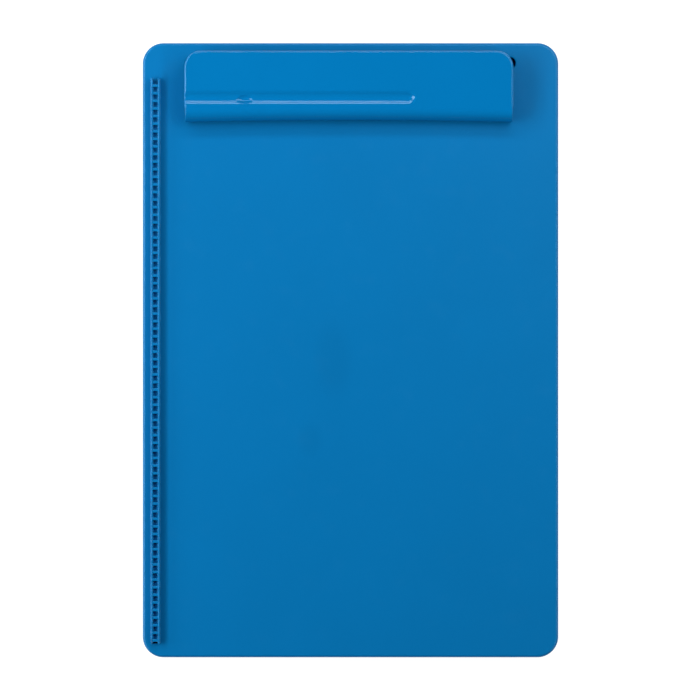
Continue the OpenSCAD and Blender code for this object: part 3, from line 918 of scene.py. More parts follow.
@dataclass(frozen=True)
class Rubber:
    """Dark rubber with a dusty bloom."""

    name: str
    colour: Rgb

    def build(self) -> bpy.types.Material:
        """Makes the material.

        Returns:
            The material.
        """
        kit = Shader(self.name)
        kit.constants({"IOR": 1.45})
        grain = kit.noise(0.25, 3.0)
        bloom = kit.noise(4.0, 3.0).ease(0.4, 0.75)
        kit.feed("Base Color", kit.blend(bloom * 0.6 + grain * 0.3, self.colour, tinted(self.colour, 1.9)))
        kit.feed("Roughness", 0.62 + grain * 0.15 + bloom * 0.1)
        kit.relief(grain, 0.02)
        return kit.done()


@dataclass(frozen=True)
class Steel:
    """Plated steel with fine marks round or along its axis."""

    name: str
    colour: Rgb
    roughness: float
    marks: Point

    def build(self) -> bpy.types.Material:
        """Makes the material.

        Returns:
            The material.
        """
        kit = Shader(self.name)
        kit.constants({"IOR": 2.5})
        lines = kit.noise(0.09, 2.0, self.marks)
        stain = kit.noise(2.4, 3.0).ease(0.45, 0.8)
        kit.feed("Base Color", kit.blend(stain * 0.7 + lines * 0.3, self.colour, tinted(self.colour, 0.78)))
        kit.feed("Metallic", 1.0 - stain * 0.06)
        kit.feed("Roughness", self.roughness + lines * 0.12 + stain * 0.1)
        kit.relief(lines, 0.002)
        return kit.done()


@dataclass(frozen=True)
class Finish:
    """A material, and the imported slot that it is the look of."""

    slot: Slot
    material: bpy.types.Material


@dataclass(frozen=True)
class Finishes:
    """Every finish of the box."""

    board: Finish
    tray: Finish
    clip: Finish
    inner: Finish
    rubber: Finish
    steel: Finish
    spring: Finish


def mix_finishes() -> Finishes:
    """Makes every material once.

    Returns:
        The finishes.
    """
    upper = FlowMark((-9.7, -4.9, 22.9), (9.0, 17.5), 0.42)
    lower = FlowMark((-22.4, -49.7, 22.9), (6.0, 8.0), 0.34)
    blue = (0.0005, 0.145, 0.390)
    board = MouldedPlastic("board_plastic", (0.0005, 0.1535, 0.404), 0.30, marks=(upper, lower))
    gloss = {"grain": 1.1, "pit": 0.0006, "ripple": 1.5, "sheen_tint": (0.6, 0.84, 1.0)}
    clip = MouldedPlastic("clip_plastic", (0.0005, 0.158, 0.417), 0.06, **gloss)
    zinc = Steel("zinc_plated_steel", (0.62, 0.63, 0.65), 0.24, (1.0, 18.0, 1.0))
    wire = Steel("spring_wire", (0.50, 0.50, 0.52), 0.28, (6.0, 6.0, 1.0))
    return Finishes(
        board=Finish(Slot.BOARD, board.build()),
        tray=Finish(Slot.TRAY, MouldedPlastic("tray_plastic", blue, 0.46, pit=0.006).build()),
        clip=Finish(Slot.CLIP, clip.build()),
        inner=Finish(Slot.CLIP, MouldedPlastic("bracket_plastic", blue, 0.34, pit=0.003).build()),
        rubber=Finish(Slot.RUBBER, Rubber("black_rubber", (0.018, 0.018, 0.020)).build()),
        steel=Finish(Slot.STEEL, zinc.build()),
        spring=Finish(Slot.SPRING, wire.build()),
    )


def place(made: Object, body: Body, finish: Finish, node: str) -> Object:
    """Dresses a piece and puts it on its body.

    Args:
        made: The piece.
        body: The body that it rides on.
        finish: Its finish.
        node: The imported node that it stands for.

    Returns:
        The piece.
    """
    made.data.materials.clear()
    made.data.materials.append(finish.material)
    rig.ride(made, body.value)
    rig.slot(made, finish.slot.value)
    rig.replaces(made, node)
    return made


@dataclass(frozen=True)
class Screw:
    """A cross-headed screw: `sunk` is the height of a countersunk head, `pan` that of a pan head."""

    head: float
    shank: float
    length: float
    sunk: float = 0.0
    pan: float = 0.0
    pitch: float = 0.9
    thread: float = 0.22
    slot: float = 0.3
    slot_depth: float = 0.62

    def solid(self) -> Solid:
        """The screw, from its head at 0 up along its axis; a pan head lies below 0.

        Returns:
            The solid.
        """

        def body(x: Array, y: Array, z: Array) -> Array:
            """Distance to the head and the threaded shank."""
            away = np.hypot(x, y)
            turn = np.arctan2(y, x) / (2 * math.pi)
            wave = np.abs((z / self.pitch - turn) % 1.0 - 0.5) * 2
            thread = (away - self.shank + self.thread * wave) * 0.85
            stem = soft_max(thread, z - self.length, 0.2)
            stem = soft_max(stem, -z - self.pan / 2, 0.0)
            tip = (away + 0.8 * (z - self.length) - self.shank * 0.35) * 0.78
            stem = np.maximum(stem, tip)
            if self.sunk:
                cone = (away - self.head + (self.head - self.shank) * z / self.sunk) * 0.72
                top = soft_max(soft_max(cone, -z, 0.12), z - self.sunk, 0.0)
            else:
                top = soft_max(soft_max(away - self.head, z, 0.1), -z - self.pan, 0.55)
            return np.minimum(stem, top)

        def cross(x: Array, y: Array, z: Array) -> Array:
            """Distance to the cross in the head."""
            close, far = np.minimum(np.abs(x), np.abs(y)), np.maximum(np.abs(x), np.abs(y))
            deep = z + self.pan
            slot = np.maximum(close - self.slot, far - self.head * 0.56 + 0.55 * deep)
            return np.maximum(slot, deep - self.slot_depth)

        return Solid(body).cut(Solid(cross), 0.06)

    def four(self, name: str, axis: Axis, first: Point, steps: Sequence[Point], finish: Finish) -> Object:
        """Four of these screws in two rows, as one mesh.

        Args:
            name: The object's name.
            axis: X or Z, along which they lie.
            first: Where the first one's head is.
            steps: The offset within a pair, and the offset between the pairs.
            finish: Their finish.

        Returns:
            The object.
        """
        step, spare = 0.17, 0.3
        across = grid_lines(-self.head, self.head, step, spare=spare)
        along = grid_lines(-self.pan, self.length, step, spare=spare)
        made = moulded(name, [(self.solid(), [across, across, along])])
        if axis is Axis.X:
            made.data.transform(Matrix(((0, 0, 1, 0), (1, 0, 0, 0), (0, 1, 0, 0), (0, 0, 0, 1))))
        for offset in steps:
            made = row(made, 2, offset, finish.material)
        return shifted(made, *first)


# ---------------------------------------------------------------- lid


@dataclass
class Box:
    """Sizes that more than one part of the box shares, in millimetres."""

    width: float = 230.0
    length: float = 340.0
    corner: float = 11.5
    under: float = 20.3
    top: float = 22.9
    axis_x: float = -110.8
    axis_z: float = 16.4
    hinge_y: float = 100.0
    barrel: float = 3.4
    bore: float = 1.56
    knuckle: float = 12.0
    knuckle_pitch: float = 12.3
    knuckle_count: int = 5
    knuckle_play: float = 0.15
    slider_x: float = 108.65
    slider_t: float = 1.9
    hook_y: Pair = (-20.0, 12.0)
    overlap: float = 0.4

    @property
    def reach(self) -> float:
        """How far a knuckle's grid goes from the hinge's axis."""
        return self.barrel + SPARE

    def knuckles(self, first: int, neck_x: Pair, neck_z: Pair, ends_at: Pair) -> list[Part]:
        """Every second knuckle of both hinges, each with a grid of its own.

        Args:
            first: 1 for the lid's knuckles, 0 for the tray's.
            neck_x: From and to along X of the neck that joins each to its part.
            neck_z: From and to along Z of the neck.
            ends_at: Where the grid ends along X and Z.

        Returns:
            The knuckles, in order along Y.
        """
        at, made = (self.axis_x, self.axis_z), []
        start = -self.knuckle_count / 2 * self.knuckle_pitch + self.knuckle_play + self.knuckle / 2
        xs = grid_lines(self.axis_x - self.reach, ends_at[0], 0.4, spare=0.0)
        zs = grid_lines(self.axis_z - self.reach, ends_at[1], 0.4, spare=0.0)
        for side in SIDES:
            for k in range(first, self.knuckle_count, 2):
                y = side * self.hinge_y + (start + k * self.knuckle_pitch)
                ends = (y - self.knuckle / 2, y + self.knuckle / 2)
                barrel = stub(Axis.Y, at, self.barrel, ends, SOFT).join(block(neck_x, ends, neck_z, SOFT))
                ys = grid_lines(*ends, 3, near(0.35, 0.17, *ends), 0.3)
                made.append((barrel.cut(bar(Axis.Y, at, self.bore), 0.2), [xs, ys, zs]))
        return made


@dataclass
class Lid:
    """The writing board, which is the lid: its stop rail, skirt, ribs, knuckles and catches."""

    box: Box
    finishes: Finishes
    edge: float = 1.5
    skirt: float = 3.8
    skirt_t: float = 1.7
    free_side: float = 15.7
    rail_x: Pair = (-110.4, -105.3)
    rail_y: Pair = (-162.3, 150.4)
    rail_top: float = 26.9
    rail_wall: float = 1.2
    rail_slot: float = 1.8
    rail_slope: float = 3.0
    rung_pitch: float = 4.2
    rung_t: float = 1.5
    rung_back: float = 0.65
    rung_drop: float = 0.2
    rung_edge: float = 0.2
    cell: float = 2.0
    rib_drop: float = 1.2
    rib_t: float = 1.4
    rib_x: tuple[float, ...] = (-98.8, 0.0, 98.8)
    rib_y: tuple[float, ...] = (-151.8, -75.9, 0.0, 75.9, 151.8)
    hole_x: float = 88.1
    hole_y: float = 158.9
    hole_r: float = 3.2
    seat_x: Pair = (-58.9, 57.1)
    seat_y: float = 158.4
    seat_r: float = 2.6
    seat_h: float = 1.6
    screw_x: tuple[float, ...] = (-69.2, -48.6, 46.8, 67.4)
    screw_y: float = 143.7
    screw_r: float = 1.55
    post_y: Pair = (-6.8, -3.3)
    foot_y: Pair = (-5.0, -0.9)
    foot_z: Pair = (13.1, 15.3)

    @property
    def rung_gaps(self) -> int:
        """Number of cells between the rail's first rung and its last."""
        return int((self.rail_y[1] - self.rail_y[0] - 2 * self.rail_slot) / self.rung_pitch)

    @property
    def rungs_y(self) -> Pair:
        """Where the rail's first rung starts and its last rung ends."""
        low = self.rail_y[0] + self.rail_slot - self.rung_back
        return low, low + self.rung_gaps * self.rung_pitch + self.rung_t

    def board(self) -> Solid:
        """The board with its skirt, ribs and the rail's two walls, and every hole through it.

        Returns:
            The solid.
        """
        box, t = self.box, self.skirt_t
        below_board = below(Axis.Z, box.under)
        inner = panel(box.width - 2 * t, box.length - 2 * t, box.corner - t)
        body = panel(box.width, box.length, box.corner).keep(below(Axis.Z, box.top), self.edge)
        body = body.keep(above(Axis.Z, box.under - self.skirt), 0.4)
        body = body.cut(inner.keep(below_board, 0.6), 0.4)
        body = body.cut(below(Axis.X, self.free_side - box.width / 2).keep(below_board), 0.35)
        body = body.join(self.ribs(), SOFT)
        for wall in self.rail_walls():
            body = body.join(wall, 0.25)
        for side in SIDES:
            body = body.cut(bar(Axis.Z, (side * self.hole_x, self.hole_y), self.hole_r), 0.6)
        for x in self.screw_x:
            body = body.cut(bar(Axis.Z, (x, self.screw_y), self.screw_r), 0.2)
        seat_z = (box.top - 1, box.top + self.seat_h)
        for x in self.seat_x:
            body = body.join(stub(Axis.Z, (x, self.seat_y), self.seat_r, seat_z, 0.4), SOFT)
        gap, start = 0.2, self.rail_y[0]
        slot_x = (self.rail_x[0] + self.rail_wall, self.rail_x[1] - self.rail_wall)
        slot_y = (start + gap, start + self.rail_slot - gap)
        return body.cut(block(slot_x, slot_y, (box.under - 3, box.top + 3), 0.2), 0.15)

    def ribs(self) -> Solid:
        """Shallow grid of ribs under the board.

        Returns:
            The solid.
        """
        half = self.rib_t / 2
        z = (self.box.under - self.rib_drop, self.box.under + 1)
        reach_x, reach_y = self.rib_x[-1], self.rib_y[-1]
        along = [block((x - half, x + half), (-reach_y, reach_y), z, SOFT) for x in self.rib_x]
        across = [block((-reach_x, reach_x), (y - half, y + half), z, SOFT) for y in self.rib_y]
        return union(along + across)

    def rail_walls(self) -> list[Solid]:
        """The rail's two walls and the floor of its cells; the outer wall slopes down at its lower end.

        Returns:
            The outer wall, the inner wall and the floor.
        """
        left, right = self.rail_x
        z = (self.box.top - 1, self.rail_top)
        outer = block((left, left + self.rail_wall), self.rail_y, z, 0.45)
        inner = block((right - self.rail_wall, right), self.rail_y, z, 0.45)
        start = self.rail_top - self.rail_slope
        slope = Solid(lambda x, y, z: ((z - start) - (y - self.rail_y[0])) * math.sqrt(0.5))
        sides = (left + self.rail_wall / 2, right - self.rail_wall / 2)
        floor = block(sides, self.rungs_y, (z[0], self.rail_top - self.rung_drop - self.cell), 0.15)
        return [outer.keep(slope, 0.22), inner, floor]

    def edge_places(self, half: float) -> list[Point]:
        """Where the grid is close at the board's two ends, its skirt and its corners."""
        inner = half - self.skirt_t
        return near(0.0, 0.3, -half, -inner, inner, half) + at_ends(half, self.box.corner, 0.75)

    def grid(self) -> list[Array]:
        """Grid for the board: fine at its edges, ribs, rail and holes.

        Returns:
            The planes along X, Y and Z.
        """
        box, half_w, half_l = self.box, self.box.width / 2, self.box.length / 2
        hole, (start, end) = self.hole_r + 0.3, self.rail_y
        places = self.edge_places(half_w) + near(0.9, 0.35, *self.rib_x)
        places += near(hole, 0.45, -self.hole_x, self.hole_x)
        places += near(1.8, 0.4, *self.screw_x) + near(2.9, 0.5, *self.seat_x)
        places += [(self.rail_x[0] - 0.3, self.rail_x[1] + 0.3, 0.17), (-99.7, -98.9, 0.2)]
        xs = grid_lines(-half_w, half_w, 9, places)
        places = self.edge_places(half_l) + near(0.9, 0.35, *self.rib_y)
        places += near(hole, 0.45, self.hole_y) + near(1.8, 0.4, self.screw_y)
        places += [(start - 0.3, start + 2.2, 0.17), (start + 2.5, start + 3.5, 0.25)]
        places += [(end - 0.4, end + 0.3, 0.17)]
        ys = grid_lines(-half_l, half_l, 9, places)
        low = box.under - self.skirt
        places = [(low, low + 0.5, 0.2), (box.under - 1.5, box.top + 0.3, 0.24)]
        places += [(box.top + 1.2, box.top + 2.5, 0.22), (self.rail_top - 0.3, self.rail_top, 0.12)]
        zs = grid_lines(low, self.rail_top, 1.0, places)
        return [xs, ys, zs]

    def catches(self) -> list[Part]:
        """The two catches for the latch's hooks, each with a grid of its own.

        Returns:
            The catches with their grids.
        """
        box, made = self.box, []
        thick = (box.slider_x, box.slider_x + box.slider_t)
        low, high = self.foot_z
        top = box.under + box.overlap
        for y in box.hook_y:
            post, foot = [(y + start, y + end) for start, end in (self.post_y, self.foot_y)]
            solid = block(thick, post, (low, top), SOFT).join(block(thick, foot, (low, high), SOFT), SOFT)
            xs = grid_lines(*thick, 0.5, near(0.3, 0.15, *thick))
            ys = grid_lines(y - 7.2, y - 0.5, 0.6, near(0.3, 0.15, *post, foot[1]), spare=0.0)
            zs = grid_lines(12.7, box.under + 2 * SPARE, 1, near(0.3, 0.15, low, high), spare=0.0)
            made.append((solid, [xs, ys, zs]))
        return made

    def rungs(self) -> Object:
        """The rail's rungs, repeated by a geometry node tree.

        Returns:
            All of them as one piece.
        """
        high = self.rail_top - self.rung_drop
        low = high - self.cell - 0.3
        start = self.rungs_y[0]
        end = start + self.rung_t
        outline = [(start, low), (end, low)]
        for degrees in (0, 30, 60, 90):
            angle = math.radians(degrees)
            y, z = [self.rung_edge * (1 - turn) for turn in (math.cos(angle), math.sin(angle))]
            outline.append((end - y, high - z))
        outline += [(start + end - y, z) for y, z in outline[:1:-1]]
        inset = self.rail_wall - self.box.overlap
        rung = prism("stop_rail_rungs", outline, Axis.X, (self.rail_x[0] + inset, self.rail_x[1] - inset))
        return row(rung, self.rung_gaps + 1, (0.0, self.rung_pitch, 0.0), self.finishes.board.material)

    def build(self) -> list[Object]:
        """Makes the lid's pieces and puts them on their body.

        Returns:
            The board and the rungs.
        """
        box, finish = self.box, self.finishes.board
        neck_x = (box.axis_x - box.barrel, box.axis_x + box.barrel)
        ends_at = (box.axis_x + box.reach, box.under + 2 * SPARE)
        knuckles = box.knuckles(1, neck_x, (box.axis_z, box.under + box.overlap), ends_at)
        board = moulded("writing_board", [(self.board(), self.grid()), *knuckles, *self.catches()])
        return [place(made, Body.LID, finish, "lid_board") for made in (board, self.rungs())]


# ---------------------------------------------------------------- tray, hinge and feet


@dataclass
class Tray:
    """The shallow case, with its pen trough, hinge pockets and thumb window."""

    box: Box
    finishes: Finishes
    width: float = 226.0
    length: float = 336.0
    corner: float = 9.5
    bottom: float = 1.5
    floor: float = 3.5
    rim: float = 20.1
    wall: float = 2.2
    low_side: float = -110.3
    low_rim: float = 19.3
    beyond: float = 5.0
    sky: float = 30.0
    pocket_y: float = 31.0
    pocket_in: float = -106.8
    pocket_z: float = 10.826
    pocket_t: float = 1.8
    partition_y: Pair = (-134.8, -133.2)
    partition_top: float = 14.5
    dip_r: float = 92.5
    dip_z: float = 9.5
    window_y: Pair = (-10.25, 10.25)
    window_z: Pair = (5.35, 12.25)
    window_r: float = 1.2
    cover_x: float = 107.0
    cover_t: float = 1.4
    screw_y: float = 30.2
    screw_z: Pair = (6.9, 15.7)
    boss_r: float = 2.4
    bore_r: float = 1.05
    bore_end: float = 5.2
    pin_r: float = 1.5
    foot_x: float = 96.0
    foot_y: float = 151.0
    recess_r: float = 6.2
    recess: float = 0.8

    @property
    def screw_spots(self) -> list[Pair]:
        """Y and Z of the latch cover's four screws."""
        return [(y, z) for y in (-self.screw_y, self.screw_y) for z in self.screw_z]

    def pockets(self, wrap: float, edge: float) -> list[Solid]:
        """The room of each hinge's pocket, or more by the thickness of what wraps it.

        Args:
            wrap: The thickness, or 0 for the room itself.
            edge: Radius of the edges.

        Returns:
            The lower one and the upper one.
        """
        sides = (-self.width / 2 - self.beyond, self.pocket_in + wrap)
        reach = self.pocket_y + wrap
        middles = [side * self.box.hinge_y for side in SIDES]
        return [block(sides, (y - reach, y + reach), (self.pocket_z - wrap, self.sky), edge) for y in middles]

    def shell(self) -> Solid:
        """The case without its knuckles.

        Returns:
            The solid.
        """
        half_w, half_l = self.width / 2, self.length / 2
        outer = panel(self.width, self.length, self.corner).keep(below(Axis.Z, self.rim), 0.35)
        outer = outer.keep(above(Axis.Z, self.bottom), 2.0)
        inner = panel(self.width - 2 * self.wall, self.length - 2 * self.wall, self.corner - self.wall)
        body = outer.cut(inner.keep(above(Axis.Z, self.floor), 1.0), 0.5)
        for wrap in self.pockets(self.pocket_t, 0.6):
            body = body.join(wrap.keep(outer, SOFT))
        dip = bar(Axis.Y, (0.0, self.dip_z + self.dip_r), self.dip_r)
        partition_z = (self.bottom + 0.5, self.partition_top)
        wall = block((1 - half_w, half_w - 1), self.partition_y, partition_z, 0.4)
        body = body.join(wall.cut(dip, 0.5), 0.5)
        for pocket in self.pockets(0.0, 0.4):
            body = body.cut(pocket, SOFT)
        end = half_l + self.beyond
        low_side = (-half_w - self.beyond, self.low_side)
        body = body.cut(block(low_side, (-end, end), (self.low_rim, self.sky)), SOFT)
        for at in self.screw_spots:
            boss = stub(Axis.X, at, self.boss_r, (self.cover_x + self.cover_t, half_w - 1), 0.25)
            bore = stub(Axis.X, at, self.bore_r, (self.cover_x - 2, self.cover_x + self.bore_end))
            body = body.join(boss, SOFT).cut(bore)
        window_x = (half_w - 8, half_w + self.beyond)
        body = body.cut(plate(Axis.X, window_x, self.window_y, self.window_z, self.window_r), 0.35)
        recess_z = (self.bottom - 2, self.bottom + self.recess)
        for x in (-self.foot_x, self.foot_x):
            for y in (-self.foot_y, self.foot_y):
                body = body.cut(stub(Axis.Z, (x, y), self.recess_r, recess_z), 0.2)
        return body

    def edge_places(self, half: float, foot: float) -> list[Point]:
        """Where the grid is close at the case's two walls, its corners and its foot recesses."""
        middle = half - self.wall / 2
        places = near(1.5, 0.33, -middle, middle) + at_ends(half, self.corner, 0.8)
        return places + near(self.recess_r + 0.2, 0.6, -foot, foot)

    def grid(self) -> list[Array]:
        """Grid for the case: fine at its edges, pockets, window and holes.

        Returns:
            The planes along X, Y and Z.
        """
        half_w, half_l = self.width / 2, self.length / 2
        places = self.edge_places(half_w, self.foot_x)
        places += [(self.pocket_in - 0.5, self.pocket_in + 2.3, 0.3), (-110.8, -110.0, 0.25)]
        places += near(0.5, 0.25, self.cover_x + self.cover_t) + near(36.0, 3.0, 0.0)
        xs = grid_lines(-half_w, half_w, 10, places)
        places = self.edge_places(half_l, self.foot_y)
        wrap = self.pocket_y + self.pocket_t / 2
        walls = [side * self.box.hinge_y + end * wrap for side in SIDES for end in SIDES]
        places += near(self.pocket_t / 2 + 0.5, 0.3, *walls)
        places += [(self.partition_y[0] - 0.6, self.partition_y[1] + 0.6, 0.28)]
        places += near(0.5, 0.28, *self.window_y) + near(2.7, 0.35, -self.screw_y, self.screw_y)
        ys = grid_lines(-half_l, half_l, 10, places)
        places = [(self.bottom, self.floor + 1.0, 0.3), (self.rim - 1.2, self.rim, 0.22)]
        places += [(self.partition_top - 0.6, self.partition_top, 0.25), (8.6, 11.4, 0.35)]
        places += near(0.5, 0.3, self.window_z[0] + 0.1, self.window_z[1] - 0.1)
        places += near(2.6, 0.4, *self.screw_z)
        zs = grid_lines(self.bottom, self.rim, 1.5, places)
        return [xs, ys, zs]

    def feet(self) -> list[Object]:
        """The four rubber feet, with a shallow dish and a rounded rim underneath.

        Returns:
            The pieces.
        """
        outline = [(0.0, 0.25), (4.0, 0.25), (4.45, 0.0), (5.5, 0.0), (5.75, 0.07), (5.93, 0.25), (6.0, 0.5)]
        outline += [(6.0, 2.2), (5.9, 2.3), (0.0, 2.3)]
        made = []
        for tall, y in (("upper", self.foot_y), ("lower", -self.foot_y)):
            for wide, x in (("left", -self.foot_x), ("right", self.foot_x)):
                foot = lathe(f"rubber_foot_{tall}_{wide}", outline, Axis.Z, (x, y, 0.0))
                made.append(place(foot, Body.BASE, self.finishes.rubber, f"foot_{tall}_{wide}"))
        return made

    def build(self) -> list[Object]:
        """Makes the case, the hinge pins and the feet.

        Returns:
            The pieces.
        """
        box = self.box
        neck_x = (box.axis_x, self.pocket_in + box.overlap)
        ends_at = (self.pocket_in + 2 * SPARE, box.axis_z + box.reach)
        knuckles = box.knuckles(0, neck_x, (box.axis_z - box.barrel, box.axis_z + 1), ends_at)
        case = moulded("tray_case", [(self.shell(), self.grid()), *knuckles])
        made = [place(case, Body.BASE, self.finishes.tray, "tray")]
        half = ((box.knuckle_count - 1) * box.knuckle_pitch + box.knuckle) / 2
        for name, side in (("upper", 1), ("lower", -1)):
            centre = (box.axis_x, side * box.hinge_y, box.axis_z)
            pin = rod(f"hinge_pin_rod_{name}", self.pin_r, half, 0.3, Axis.Y, centre)
            made.append(place(pin, Body.BASE, self.finishes.steel, f"hinge_pin_{name}"))
        return made + self.feet()


# ---------------------------------------------------------------- latch


@dataclass
class Latch:
    """The sliding catch, its cover and the cover's screws."""

    box: Box
    tray: Tray
    finishes: Finishes
    slider_y: Pair = (-26.0, 22.0)
    slider_z: Pair = (4.5, 12.7)
    post_t: float = 4.0
    hook_reach: float = 3.0
    hook_z: Pair = (15.6, 17.8)
    tab_y: Pair = (-10.0, 6.0)
    tab_z: Pair = (5.6, 12.0)
    tab_x: float = 113.6
    ridge_x: float = 114.1
    ridge_y: tuple[float, ...] = (-8.0, -5.0, -2.0, 1.0, 4.0)
    ridge_inset: float = 0.5
    cover_z: Pair = (3.5, 19.1)
    cover_y: float = 33.7
    hole_r: float = 1.2
    sink_r: float = 2.22
    corner: float = 1.2

    def slider(self) -> Part:
        """The slider with its two hooks and its thumb tab.

        Returns:
            The solid with its grid.
        """
        thick = (self.box.slider_x, self.box.slider_x + self.box.slider_t)
        body = plate(Axis.X, thick, self.slider_y, self.slider_z, self.corner, SOFT)
        edges = [*self.slider_y, *self.tab_y]
        for y in self.box.hook_y:
            post = block(thick, (y, y + self.post_t), (self.slider_z[1] - 1, self.hook_z[1]), SOFT)
            hook = block(thick, (y - self.hook_reach, y + self.hook_reach), self.hook_z, SOFT)
            body = body.join(post.join(hook, SOFT), SOFT)
            edges += [y - self.hook_reach, y, y + self.post_t]
        tab = plate(Axis.X, (thick[1] - 1, self.tab_x), self.tab_y, self.tab_z, self.corner, 0.5)
        ridge_z = (self.tab_z[0] + self.ridge_inset, self.tab_z[1] - self.ridge_inset)
        for y in self.ridge_y:
            tab = tab.join(block((self.tab_x - 1, self.ridge_x), (y - 0.5, y + 0.5), ridge_z, SOFT), 0.2)
        xs = grid_lines(thick[0], self.ridge_x, 0.6, near(0.3, 0.15, *thick, self.tab_x, self.ridge_x))
        ridges = (self.ridge_y[0] - 1, self.ridge_y[-1] + 1, 0.2)
        ys = grid_lines(*self.slider_y, 3, [*near(0.3, 0.16, *edges), ridges])
        edges = [*self.slider_z, *self.hook_z, *self.tab_z, *ridge_z]
        zs = grid_lines(self.slider_z[0], self.hook_z[1], 1.5, near(0.3, 0.16, *edges))
        return body.join(tab), [xs, ys, zs]

    def countersink(self, at: Pair) -> Solid:
        """The cone that a screw's head sits in.

        Args:
            at: The screw's Y and Z.

        Returns:
            The solid.
        """

        def distance(x: Array, y: Array, z: Array) -> Array:
            """Distance to the cone."""
            away = np.hypot(y - at[0], z - at[1])
            return (away + 0.9 * (x - self.tray.cover_x) - self.sink_r) * 0.74

        return Solid(distance)

    def cover(self) -> Part:
        """The cover plate, with a countersunk hole for each screw.

        Returns:
            The solid with its grid.
        """
        tray, end = self.tray, self.cover_y
        sides = (tray.cover_x, tray.cover_x + tray.cover_t)
        body = plate(Axis.X, sides, (-end, end), self.cover_z, self.corner, SOFT)
        for at in tray.screw_spots:
            body = body.cut(bar(Axis.X, at, self.hole_r), 0.1).cut(self.countersink(at), 0.1)
        xs = grid_lines(*sides, 0.2)
        places = near(self.corner, 0.25, -end, end) + near(2.4, 0.25, -tray.screw_y, tray.screw_y)
        ys = grid_lines(-end, end, 4, places)
        places = near(self.corner, 0.25, *self.cover_z) + near(2.4, 0.25, *tray.screw_z)
        zs = grid_lines(*self.cover_z, 2, places)
        return body, [xs, ys, zs]

    def build(self) -> list[Object]:
        """Makes the slider, its cover and the cover's screws.

        Returns:
            The pieces.
        """
        tray, finishes = self.tray, self.finishes
        slider = moulded("latch_slide_bar", [self.slider()])
        cover = moulded("latch_guide_cover", [self.cover()])
        low, high = tray.screw_z
        first = (tray.cover_x, -tray.screw_y, low)
        steps = [(0.0, 2 * tray.screw_y, 0.0), (0.0, 0.0, high - low)]
        screws = Screw(2.1, 1.0, 4.8, sunk=1.12).four("cover_screw_set", Axis.X, first, steps, finishes.steel)
        return [
            place(slider, Body.LATCH, finishes.tray, "latch_slider"),
            place(cover, Body.BASE, finishes.tray, "latch_cover"),
            place(screws, Body.BASE, finishes.steel, "latch_screws"),
        ]


# ---------------------------------------------------------------- clip


